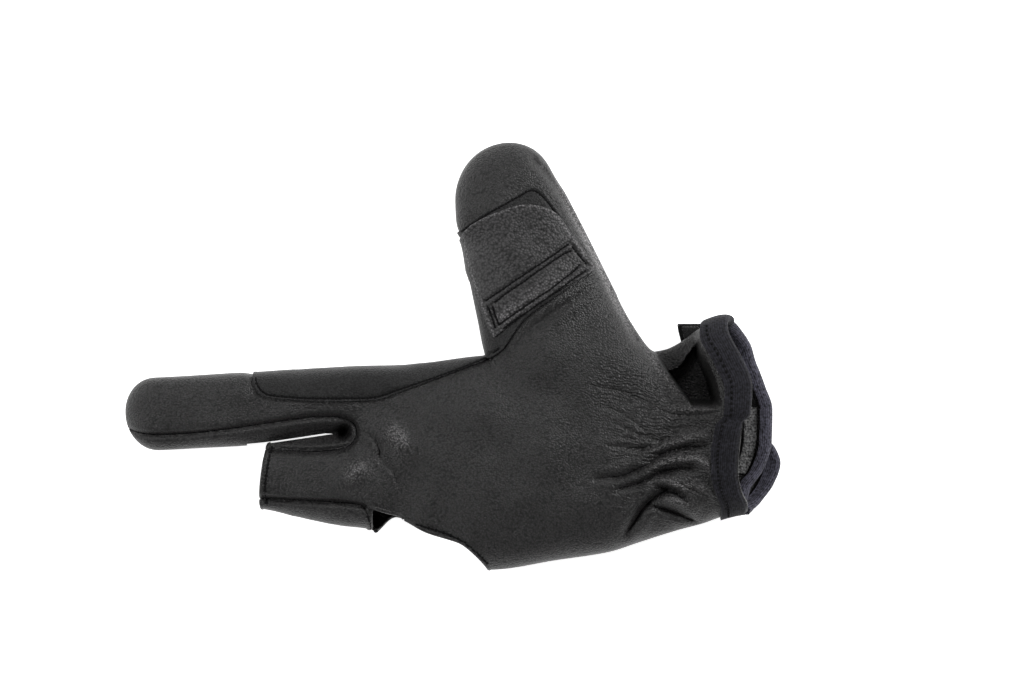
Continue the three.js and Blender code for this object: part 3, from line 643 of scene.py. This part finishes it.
def sheet_from(name, inside=(), outside=()):
    """The part of the skin inside some blocks and outside others, as an open sheet."""
    piece = linked(name, skin.data.copy())
    for block in inside:
        cut(piece, block, "INTERSECT")
    for block in outside:
        cut(piece, block, "DIFFERENCE")
    bm = opened(piece)
    bmesh.ops.delete(bm, geom=[face for face in bm.faces if face.material_index == 1], context="FACES")
    bmesh.ops.remove_doubles(bm, verts=bm.verts, dist=0.12)
    bmesh.ops.dissolve_degenerate(bm, edges=bm.edges, dist=0.02)
    put_back(bm, piece)
    return piece


def give_wall(piece, thickness, offset, levels=0):
    wall = piece.modifiers.new("thickness", "SOLIDIFY")
    wall.thickness = thickness
    wall.offset = offset
    if levels:
        soft = piece.modifiers.new("soft", "SUBSURF")
        soft.levels = soft.render_levels = levels
    return settle(piece)


def thicken(piece, start, thickness, levels=0):
    """Moves a sheet outwards from the skin and gives it its thickness, outwards or, below zero, inwards."""
    move_to(piece, places_of(piece) + start * normals_of(piece))
    give_wall(piece, abs(thickness), 1 if thickness > 0 else -1, levels)


def lighten(piece, ratio):
    """Merges the faces that add nothing to a piece's shape."""
    fewer = piece.modifiers.new("fewer faces", "DECIMATE")
    fewer.ratio = ratio
    settle(piece)


def paint(piece, name, values):
    """Gives each place of a piece a value of its own, or all of them the same one."""
    layer = piece.data.attributes.new(name, "FLOAT", "POINT")
    layer.data.foreach_set("value", np.full(len(piece.data.vertices), values, np.float32))


def finish(piece, name, material, slot, *nodes):
    """Shades a piece with sharp rims, puts it in metres and fixes it to the glove."""
    bm = opened(piece)
    for edge in bm.edges:
        edge.smooth = not (len(edge.link_faces) == 2 and edge.calc_face_angle() > math.radians(55))
    for face in bm.faces:
        face.smooth = True
        face.material_index = 0
    put_back(bm, piece)
    piece.name = name
    piece.data.materials.clear()
    piece.data.materials.append(material)
    piece.data.transform(Matrix.Scale(0.001, 4))
    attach(piece, "root")
    if nodes:
        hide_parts(*nodes)


def crumpled(places):
    """How strongly the leather is wrinkled: most in the gathers behind the cuff and at the thumb."""
    spots = [((632, 392), 11, 0.9), ((662, 425), 16, 0.8), ((680, 462), 18, 0.7), ((655, 495), 13, 0.6),
             ((696, 400), 9, 0.6), ((580, 385), 14, 0.35), ((480, 540), 14, 0.15)]
    total = np.full(len(places), 0.04)
    for middle, radius, strength in spots:
        away = np.linalg.norm(places[:, :2] - plan(middle)[0], axis=1)
        total += strength * np.exp(-(away / radius) ** 2)
    return np.minimum(total, 1)


def pleated(places):
    """How strongly the leather is wrinkled across the fingers, at the knuckles."""
    away = np.linalg.norm((places[:, :2] - plan((369, 468))[0]) / (8, 10), axis=1)
    return 0.9 * np.exp(-away ** 2)


def painted_highlights(places):
    """Painted highlights: how much lighter the leather is painted where the light catches it, on the
    knuckles, the ridges and the thumb's far edge.
    """
    runs = [([(386, 425), (396, 437), (404, 452)], 3.2, 1.5),
            ([(345, 480), (354, 473), (364, 460)], 3.2, 1.5),
            ([(553, 175), (585, 237), (600, 267), (616, 302), (637, 341)], 1.3, 3.4),
            ([(640, 342), (653, 360), (669, 383), (685, 401)], 1.0, 1.6),
            ([(646, 452), (669, 444), (686, 438), (706, 435)], 1.7, 1.1),
            ([(646, 468), (664, 461), (686, 457.5), (701, 462), (711, 473)], 1.9, 1.4),
            ([(645, 483), (658, 480), (677, 484), (695, 488), (711, 494)], 1.6, 1.3),
            ([(650, 503), (664, 499), (680, 501), (697, 505)], 1.5, 1.0),
            ([(666, 410), (688, 409), (704, 408), (719, 408)], 1.2, 1.1)]
    total = np.zeros(len(places))
    for points, width, strength in runs:
        away, share = away_from(places[:, :2], smooth_line(plan(*points)))
        total += strength * np.exp(-(away / width) ** 2) * np.sin(np.pi * (0.05 + 0.9 * share))
    return total


def rim_lines(piece, block):
    """The lines of a sheet's open edge that a block has cut, as chains of places with outward directions."""
    tree = tree_of(block)
    bm = opened(piece)
    near = {v for v in bm.verts if v.is_boundary and tree.find_nearest(v.co)[3] < 0.15}
    edges = {e for e in bm.edges if e.is_boundary and e.verts[0] in near and e.verts[1] in near}
    lines = []
    while edges:
        ends = {}
        for edge in edges:
            for v in edge.verts:
                ends.setdefault(v, []).append(edge)
        start = min(ends, key=lambda v: (len(ends[v]) != 1, v.index))
        chain, here = [start], start
        while True:
            step = next((e for e in ends[here] if e in edges), None)
            if step is None:
                break
            edges.discard(step)
            here = step.other_vert(here)
            chain.append(here)
        if len(chain) > 6:
            lines.append([(v.co.copy(), v.normal.copy()) for v in chain])
    bm.free()
    return lines


hide = sheet_from("hide", outside=[mouth, beyond_hem, above_hem, stub_end, crotch_region(SEAM_GAP),
                                   stub_region(SEAM_GAP)])
hem_lines = rim_lines(hide, beyond_hem) + rim_lines(hide, above_hem) + rim_lines(hide, stub_end)
thicken(hide, 0, -LEATHER_THICKNESS)
lighten(hide, 0.46)
paint(hide, "crumple", crumpled(places_of(hide)))
paint(hide, "pleat", pleated(places_of(hide)))
# The hide's edge value is painted highlight on the knuckles, the wrist ridges and the thumb's far edge.
paint(hide, "edge", painted_highlights(places_of(hide)))
finish(hide, "palm_and_back_leather", palm_leather, "leather", "hand_leather")

# The narrow side strips: one runs down the index finger, round the crotch and up the stub, and the other lies
# along the outer side of the stub. Both are the same soft leather, rolled in at their seams.
crotch_strip = sheet_from("strip", inside=[crotch_region(0)], outside=[stub_end])
stub_strip = sheet_from("strip", inside=[stub_region(0)], outside=[stub_end, beyond_hem])
for strip, name, node in [(crotch_strip, "finger_side_strip", "crotch_strip"),
                          (stub_strip, "stub_side_strip", "stub_strip")]:
    hem_lines += rim_lines(strip, stub_end)
    thicken(strip, 0, -LEATHER_THICKNESS)
    paint(strip, "crumple", crumpled(places_of(strip)))
    paint(strip, "pleat", pleated(places_of(strip)))
    finish(strip, name, palm_leather, "leather", node)


def rolled_hem(name, lines, radius, depth):
    """A soft roll of turned-in leather along open edges."""
    data = bpy.data.curves.new(name, "CURVE")
    data.dimensions = "3D"
    data.bevel_depth = radius
    data.bevel_resolution = 3
    data.use_fill_caps = True
    for line in lines:
        places = np.array([co - depth * normal for co, normal in line])
        for _ in range(8):
            places[1:-1] = 0.5 * places[1:-1] + 0.25 * (places[:-2] + places[2:])
        places = places[::2] if len(places) > 20 else places
        spline = data.splines.new("POLY")
        spline.points.add(len(places) - 1)
        for point, place in zip(spline.points, places):
            point.co = (*place, 1)
    roll = linked(name, data)
    mesh = bpy.data.meshes.new_from_object(roll.evaluated_get(bpy.context.evaluated_depsgraph_get()))
    bpy.data.objects.remove(roll)
    return linked(name, mesh)


strip_end = []
for turn in np.linspace(math.radians(64), math.radians(-25), 26):
    middle = Vector((plan((368.5, 0))[0, 0], -46, 7))
    place, normal, _, _ = skin_tree.ray_cast(middle, Vector((0, -math.cos(turn), math.sin(turn))))
    if place.y < plan((0, 507))[0, 1]:
        strip_end.append((place, normal))
for name, lines, radius, depth in [("finger_opening_hem", hem_lines, 0.85, 0.45),
                                   ("stub_strip_hem", [strip_end], 1.35, 0.75)]:
    hem = rolled_hem(name, lines, radius, depth)
    paint(hem, "crumple", 0.3)
    finish(hem, name, palm_leather, "leather")

# The reinforcement: one piece of finer leather over the thumb side of the index finger, the web and the inner
# face of the thumb, sewn down along its edge.
LAYER_GAP = 0.2
LAYER_THICKNESS = 0.8
WEB_RUNS = [
    plan((254, 366), (252, 380), (257, 392), (268, 398), (303, 401), (342, 401.5), (377, 400), (400, 392.5),
         (441, 378), (469, 367.5), (486, 361), (503, 350), (515, 333), (527, 318), (556, 297), (593, 272)),
    plan((593, 272), (587, 254), (573, 235.5), (567, 223.5), (556.5, 210), (547, 197.5), (538, 189),
         (530.5, 187.5), (525.5, 190.5), (512, 199), (501, 205), (480, 216), (458, 232)),
    plan((458, 232), (435, 245)), plan((435, 245), (435, 330)), plan((435, 330), (254, 340)),
    plan((254, 340), (254, 366)),
]
WEB_ROWS = [
    [(257.5, 369), (255.5, 379), (260, 389), (270, 395), (303, 398), (342, 398.5), (376, 397), (398, 390),
     (440, 375.5), (468, 365), (484, 358.5), (500, 348)],
    [(460.5, 232), (490, 213), (520, 196), (530, 190.5), (537, 192), (545, 199), (557, 215)],
]


def groove(piece, lines, depth, width):
    """Presses the sewing's lines into a piece."""
    at = places_of(piece)
    drop = np.zeros(len(at))
    for line in lines:
        away = away_from(at[:, :2], smooth_line(plan(*line)))[0]
        drop = np.maximum(drop, depth * np.exp(-(away / width) ** 2))
    at[:, 2] -= drop * (at[:, 2] > 6)
    move_to(piece, at)


web_outline = outline_of(*WEB_RUNS)
web = sheet_from("web", inside=[prism(web_outline, low=STRAP_STACK)])
thicken(web, LAYER_GAP, LAYER_THICKNESS, levels=1)
groove(web, WEB_ROWS, 0.3, 0.55)
away = away_from(places_of(web)[:, :2], web_outline)[0]
# A lighter line along the web's edge: partly wear, partly painted highlight.
paint(web, "edge", 0.4 * np.exp(-(away / 0.35) ** 2))
paint(web, "crumple", 0.6 * crumpled(places_of(web)))
finish(web, "web_reinforcement", overlay_leather, "overlay_leather", "web_leather")

# The flap: a second layer with round corners, of leather with a coarser grain. It lies on the reinforcement's
# end and is sewn to the thumb along its lower band, with its upper edge left free.
FLAP_RUNS = [
    plan((494, 336), (481, 301), (470.5, 271), (464, 243), (464, 234), (470, 226.5), (481, 220), (495, 214),
         (513, 207.5), (526, 205.5), (538, 206.5), (549, 210.5), (557, 216.5), (570, 234.5), (578, 245),
         (593, 266.5)),
    plan((593, 266.5), (593.5, 270), (591, 273), (560, 291), (532, 309), (499, 335), (496, 337), (494, 336)),
]
FLAP_ROWS = [
    [(485, 301.5), (523, 275.5), (545, 261), (556.5, 253), (569, 243.5)],
    [(494, 303), (507, 293), (520, 284.5), (533, 275), (546, 266), (559, 257), (571, 250.5)],
    [(499, 325), (511.5, 316), (523.5, 307.5), (536.5, 298.5), (550.5, 289.5), (563.5, 279), (574, 271),
     (581, 263)],
    [(503, 329), (515, 320), (529, 310.5), (541, 302.5), (553.5, 293.5), (564, 286), (575, 278),
     (586, 270.5)],
    [(487.5, 306), (490.5, 313), (492.5, 319), (494.5, 325), (497, 330)],
    [(492.5, 306), (494.5, 313), (496.5, 319), (499, 324)],
    [(571.5, 246), (577.5, 254), (582.5, 260), (588, 266)],
]
flap_outline = outline_of(*FLAP_RUNS)
flap_leather = leather_material("pebbled black leather", (0.027, 0.026, 0.0268), 0.48, grain_scale=1150,
                                grain_depth=0.00026, wrinkle_depth=0.0002)
flap = sheet_from("flap", inside=[prism(flap_outline, low=9)])
thicken(flap, 1.15, 0.7, levels=1)
groove(flap, FLAP_ROWS, 0.5, 0.6)
away = away_from(places_of(flap)[:, :2], flap_outline)[0]
# A lighter line along the flap's edge, partly wear and partly painted highlight, and a painted highlight on
# its lower band.
worn_and_lit_edge = 0.75 * np.exp(-(away / 0.45) ** 2)
away, share = away_from(places_of(flap)[:, :2], plan((503, 318), (540, 291), (566, 272)))
painted_highlight_band = 0.9 * np.exp(-(away / 2.6) ** 2) * (1 - 0.8 * share)
paint(flap, "edge", worn_and_lit_edge + painted_highlight_band)
paint(flap, "crumple", 0.5 * crumpled(places_of(flap)))
finish(flap, "thumb_flap_leather", flap_leather, "overlay_leather", "thumb_flap")

# The binding: blue-black ribbed tape, folded over the edge of the cuff and sewn through both layers. Its two
# ends meet over the palm, where one laps over the other.
RIB_PITCH = 0.75
CUFF_X = 104
PALM_SIDE_HEIGHT = 14


def ramp_node(tree, value, dark, light, low, high):
    """Colours from dark to light over a range of a value."""
    ramp = tree.nodes.new("ShaderNodeValToRGB")
    for element, color, position in zip(ramp.color_ramp.elements, (dark, light), (low, high)):
        element.color = (*color, 1)
        element.position = position
    tree.links.new(value, ramp.inputs["Fac"])
    return ramp.outputs["Color"]


def tape_material(name, tone):
    material, tree, shader = new_material(name, 0.85, 0.2)
    shader.inputs["Sheen Weight"].default_value = 0.06
    round_ribs = math_node(tree, "MULTIPLY", attribute_node(tree, "side"), 2 * math.pi / RIB_PITCH)
    ribs = math_node(tree, "SINE", round_ribs)
    weave = math_node(tree, "MULTIPLY_ADD", ribs, 0.09, noise_node(tree, 1100, 5))
    add_relief(tree, shader, math_node(tree, "MULTIPLY", weave, 0.0003))
    dark, light = ([factor * channel for channel in tone] for factor in (0.15, 2.6))
    # This value paints the tape lighter where it faces the light: a painted highlight.
    lighter = math_node(tree, "MULTIPLY_ADD", attribute_node(tree, "painted_highlights"), 3.4, 1.0)
    color = lit_color(tree, ramp_node(tree, weave, dark, light, 0.3, 0.75), lighter)
    tree.links.new(color, shader.inputs["Base Color"])
    return material


tape = tape_material("ribbed tape", (0.0078, 0.0076, 0.0102))


def on_cuff(x, turn):
    """The skin's place and outward direction at an angle round the wrist, counted from the thumb side."""
    out = Vector((0, math.cos(turn), 0.55 * math.sin(turn))).normalized()
    place, normal, _, _ = skin_tree.ray_cast(Vector((x, -30.5, 17)), out)
    return place, normal


def folded_tape(name, turns, edge_at, fold_at, closed, stretch):
    """Tape folded over an edge. At an angle round the wrist, the fold gives the heights of the tape's two
    layers above the skin and how far each reaches from the edge."""
    bases, sides = [], []
    for turn in turns:
        edge = edge_at(on_cuff(CUFF_X, turn)[0])
        outer, inner, outer_reach, inner_reach = fold_at(turn)
        middle, radius = (outer + inner) / 2, (outer - inner) / 2
        profile = [(s, outer) for s in np.linspace(outer_reach, radius * 0.8, 14)]
        profile += [(radius * (0.8 - math.sin(a)), middle + radius * math.cos(a))
                    for a in np.linspace(0.3, 2.84, 10)]
        profile += [(s, inner) for s in np.linspace(radius * 0.8, inner_reach, 9)]
        bases.append([(*on_cuff(edge - s, turn), s, height) for s, height in profile])
        sides.append(np.concatenate([[0], np.cumsum(np.linalg.norm(np.diff(profile, axis=0), axis=1))]))
    across = len(bases[0]) - 1
    bm = bmesh.new()
    bmesh.ops.create_grid(bm, x_segments=len(turns) - 1, y_segments=across, size=1)
    side = []
    for vert in bm.verts:
        i, j = round((vert.co.x + 1) / 2 * (len(turns) - 1)), round((vert.co.y + 1) / 2 * across)
        place, normal, s, height = bases[i][j]
        vert.co = place + (height + stretch(place, s)) * normal
        side.append(sides[i][j])
    folded = object_from(name, bm)
    paint(folded, "side", side)
    bm = opened(folded)
    if closed:
        bmesh.ops.remove_doubles(bm, verts=[v for v in bm.verts if v.is_boundary], dist=0.05)
    for _ in range(2):
        bmesh.ops.smooth_vert(bm, verts=[v for v in bm.verts if not v.is_boundary], factor=0.4,
                              use_axis_x=True, use_axis_y=True, use_axis_z=True)
    bmesh.ops.recalc_face_normals(bm, faces=bm.faces)
    put_back(bm, folded)
    return give_wall(folded, LAYER_THICKNESS, 0)


LAP = plan((0, 415))[0, 1]


def binding_edge(place):
    """The cuff's edge, which steps back a little below the place where the tape's two ends meet."""
    over = 2.2 * float(eased(place.y, LAP - 2.6, LAP + 0.3)) - 0.9
    return float(mouth_edge(place.y, place.z)) + (over if place.z > PALM_SIDE_HEIGHT else 0)


def binding_pucker(place, s):
    step = 0.9 if place.y > LAP and place.z > PALM_SIDE_HEIGHT else 0.0
    return step + 0.5 * noise.noise(Vector((0.02 * s, 0.16 * place.y, 0.16 * place.z)))


def binding_fold(turn):
    """Flat and wide over the palm, and a fat roll along the back."""
    back = float(eased(-math.sin(turn), -0.1, 0.35))
    return 0.75, -1.7 - 1.9 * back, 8.7, 6 - 2.2 * back


turns = np.linspace(-math.pi, math.pi, 361)
binding = folded_tape("binding", turns, binding_edge, binding_fold, True, binding_pucker)
# The back roll of the binding, low on the cuff, is painted lighter: a painted highlight where it faces the
# light.
paint(binding, "painted_highlights", eased(-places_of(binding)[:, 2], -17, -9))
finish(binding, "cuff_binding", tape, "tape", "cuff_tape")

# The closing strap: leather with a taped edge that comes from the edge of the hand, passes outside the back
# of the cuff, and ends in a turned-up tab. The table gives its two edges as shares of the hand's length, at
# shares of its width.
STRAP = np.array([
    (-0.4, 0.824, 0.935), (-0.34, 0.822, 0.967), (-0.26, 0.82, 1.0), (-0.165, 0.818, 1.017),
    (-0.1, 0.816, 1.006), (-0.045, 0.812, 0.985), (0.145, 0.8, 0.946), (0.4, 0.784, 0.895),
    (0.5, 0.774, 0.84),
])


def strap_edge(across, column, inset=0.0):
    x = CROTCH[0] + between(STRAP, column, across) * HAND_LENGTH - inset
    return np.column_stack([x, CROTCH[1] + across * HAND_WIDTH])


across = np.linspace(-0.37, 0.34, 60)
strap_outline = np.vstack([strap_edge(across, 1), strap_edge(across, 2, 1.1)[::-1]])
strap = sheet_from("strap", inside=[prism(strap_outline, high=11)])
bm = opened(strap)
behind_thumb = plan((0, 408))[0, 1]
bmesh.ops.delete(bm, context="FACES", geom=[
    face for face in bm.faces if face.normal.z > 0.35 or (
        face.calc_center_median().y > behind_thumb and face.calc_center_median().z > 5.6)])
put_back(bm, strap)
thicken(strap, 2.8, LEATHER_THICKNESS)
paint(strap, "crumple", 0.3)
finish(strap, "closing_strap", overlay_leather, "overlay_leather", "closure_strap")


def strap_rim(place):
    return float(strap_edge(np.array([(place.y - CROTCH[1]) / HAND_WIDTH]), 2)[0, 0]) - 0.4


def strap_curl(place, s):
    """The strap's edge curls up a little where it stands out beyond the back of the cuff."""
    free = float(eased(place.y, -58, -50) * eased(place.y, -28, -36))
    return -1.2 * free * float(eased(s, 5, 0)) - 2.4 * float(eased(place.y, -51, -57))


def strap_fold(turn):
    return 4.7, 1.7, 6, 5


strap_turns = np.linspace(math.radians(-158), math.radians(-22), 200)
strap_tape = folded_tape("strap tape", strap_turns, strap_rim, strap_fold, False, strap_curl)
# The whole strap tape is painted lighter than the binding: a painted highlight, as it faces the light.
paint(strap_tape, "painted_highlights", 1)
finish(strap_tape, "strap_edge_tape", tape, "tape", "strap_tape")


def tab_slab(name, start, end, near_inset, far_inset, low, high):
    """A flat slab of the tab, which lifts towards its free end."""
    bm = bmesh.new()
    bmesh.ops.create_grid(bm, x_segments=16, y_segments=24, size=1)
    for vert in bm.verts:
        across = start + (end - start) * (vert.co.y + 1) / 2
        near = strap_edge(np.array([across]), 1, -near_inset)[0]
        far = strap_edge(np.array([across]), 2, far_inset)[0]
        place = near + (far - near) * (vert.co.x + 1) / 2
        t = (across - 0.32) / 0.18
        vert.co = (place[0], place[1], 1.1 + 4 * t * abs(t) + low)
    bmesh.ops.recalc_face_normals(bm, faces=bm.faces)
    return give_wall(object_from(name, bm), high - low, 1, levels=1)


tab = tab_slab("tab", 0.33, 0.5, 0, 1.1, 0, LEATHER_THICKNESS)
paint(tab, "crumple", 0.3)
finish(tab, "strap_tab", overlay_leather, "overlay_leather")

# The closure's two halves: a patch of stiff black hooks sewn on the tab, and a strip of soft loops sewn
# inside the back of the cuff.
def pile_material(name, dark, light):
    material, tree, shader = new_material(name, 0.95, 0.2)
    shader.inputs["Sheen Weight"].default_value = 0.3
    fuzz = noise_node(tree, 1300, 4)
    add_relief(tree, shader, fuzz, 0.0008)
    color = ramp_node(tree, fuzz, [dark] * 3, [light] * 3, 0.35, 0.7)
    tree.links.new(color, shader.inputs["Base Color"])
    return material


hooks = tab_slab("hooks", 0.37, 0.485, 1.5, 3, 1.5, 2.2)
finish(hooks, "hook_patch", pile_material("hook pile", 0.003, 0.02), "pile", "hook_pad")
low, high = CROTCH[1] - 0.22 * HAND_WIDTH, CROTCH[1] + 0.1 * HAND_WIDTH
loop_block = prism([(0, low), (0, high), (200, high), (200, low)], high=11)
loops = sheet_from("loops", inside=[loop_block, beyond_mouth(-9.6)], outside=[beyond_mouth(-4.8)])
thicken(loops, -1.7, -0.7, levels=1)
finish(loops, "loop_strip_pile", pile_material("loop pile", 0.02, 0.24), "pile", "loop_strip")

# The sewing: black thread in stitches about 3 mm apart, pulled down into the leather, and along the plan
# lines a flat black blob at each hole between stitches, painted shade of the hole. The lines are places in
# the photograph.
thread, tree, shader = new_material("black thread", 0.8, 0.1)
twist = ramp_node(tree, noise_node(tree, 3000, 2), (0.001, 0.001, 0.001), (0.007, 0.007, 0.0075), 0, 1)
tree.links.new(twist, shader.inputs["Base Color"])
sewn = tree_of(hide, crotch_strip, stub_strip, web, flap, binding)
UP = Vector((0, 0, 1))


def stitch(bm, start, end, normal, thick, height=None):
    """One stitch: a short, soft-ended thread between two places."""
    along = (end - start).normalized()
    side = normal.cross(along).normalized()
    turn = Matrix((along, side, along.cross(side))).transposed().to_4x4()
    size = Matrix.Diagonal(((end - start).length / 2, thick / 2, (height or thick) / 2, 1))
    place = Matrix.Translation((start + end) / 2)
    bmesh.ops.create_uvsphere(bm, u_segments=8, v_segments=5, radius=1, matrix=place @ turn @ size)


def sew(bm, line, pitch=2.8, length=2.1, thick=0.8):
    """Stitches along a plan line, laid on whatever is uppermost there, with a flat black blob between them as
    painted shade of the pulled-in hole.
    """
    line = smooth_line(line, 0.2)
    far = np.concatenate([[0], np.cumsum(np.linalg.norm(np.diff(line, axis=0), axis=1))])
    for middle in np.arange(length / 2, far[-1], pitch):
        ends = []
        for at_length in (middle - length / 2, middle + length / 2, middle + pitch / 2):
            x, y = (np.interp(at_length, far, line[:, k]) / 1000 for k in (0, 1))
            place, normal, _, _ = sewn.ray_cast(Vector((x, y, 0.06)), -UP)
            if place is not None:
                ends.append((place, normal))
        if len(ends) == 3 and (ends[0][0] - ends[1][0]).length < 1.6 * length / 1000:
            normal = (ends[0][1] + ends[1][1]).normalized()
            stitch(bm, ends[0][0], ends[1][0], normal, thick / 1000)
            # A flat black blob in the hole between stitches: painted shade of the pulled-in hole.
            run = (ends[1][0] - ends[0][0]).normalized() * 0.0006
            stitch(bm, ends[2][0] - run, ends[2][0] + run, ends[2][1], 0.0014, 0.0004)


HEM_ROWS = [
    [(378, 511.5), (388, 515.5), (398, 519.5), (425, 526.5), (448, 534), (463, 541.5), (476, 552),
     (487, 563)],
    [(271.5, 446), (269, 459), (266.5, 475), (265, 488), (266, 503)],
    [(366.5, 509.5), (369, 520), (370.5, 528)],
]
BINDING_ROW = 6.2
bm = bmesh.new()
for line in WEB_ROWS + FLAP_ROWS + HEM_ROWS:
    sew(bm, plan(*line))
for turn in np.linspace(math.radians(12), math.radians(168), 46):
    edge = binding_edge(on_cuff(CUFF_X, turn)[0])
    ends = []
    for swing in (-0.02, 0.02):
        place, normal = on_cuff(edge - BINDING_ROW, turn + swing)
        ends.append((place + (1.22 + binding_pucker(place, BINDING_ROW)) * normal) / 1000)
    stitch(bm, ends[0], ends[1], normal, 0.0008)
threads = object_from("sewing", bm)
threads.data.materials.append(thread)
threads.data.shade_smooth()
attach(threads, "root")

for cutter in [ob for ob in bpy.data.objects if ob.name.startswith("cutter")] + [skin]:
    bpy.data.objects.remove(cutter)

# The studio: a white paper floor that glows a little, a camera high above the glove looking straight down,
# and four soft lights round it.
bm = bmesh.new()
bmesh.ops.create_grid(bm, x_segments=1, y_segments=1, size=3)
floor = object_from("floor", bm)
paper, tree, shader = new_material("floor paper", 0.9, 0.5)
shader.inputs["Base Color"].default_value = (0.93, 0.93, 0.93, 1)
shader.inputs["Emission Color"].default_value = (1, 1, 1, 1)
shader.inputs["Emission Strength"].default_value = 0.9
floor.data.materials.append(paper)

camera_data = bpy.data.cameras.new("camera")
camera_data.sensor_width = 36
camera_data.lens = 250
camera = linked("camera", camera_data)
bpy.context.scene.camera = camera
camera.location = (0.02106, 0.00504, 2.575)
camera_data.clip_end = 50


def softbox(name, size, power, place):
    """A large soft light turned towards the glove."""
    data = bpy.data.lights.new(name, "AREA")
    data.shape = "RECTANGLE"
    data.size, data.size_y = size
    data.energy = power
    lamp = linked(name, data)
    lamp.location = place
    lamp.rotation_euler = (Vector() - Vector(place)).to_track_quat("-Z", "Y").to_euler()


softbox("top softbox", (1.0, 0.5), 5.5, (-0.2, 1.1, 0.85))
softbox("left softbox", (0.5, 0.8), 10.5, (-1.1, 0.1, 0.85))
softbox("right softbox", (0.4, 0.8), 21, (1.1, 0.6, 0.7))
softbox("near softbox", (1.2, 0.4), 3.2, (0.0, -1.2, 0.7))
world = bpy.data.worlds.new("studio")
world.use_nodes = True
world.node_tree.nodes["Background"].inputs["Color"].default_value = (1, 1, 1, 1)
world.node_tree.nodes["Background"].inputs["Strength"].default_value = 0.07
bpy.context.scene.world = world
bpy.context.scene.view_settings.view_transform = "Standard"
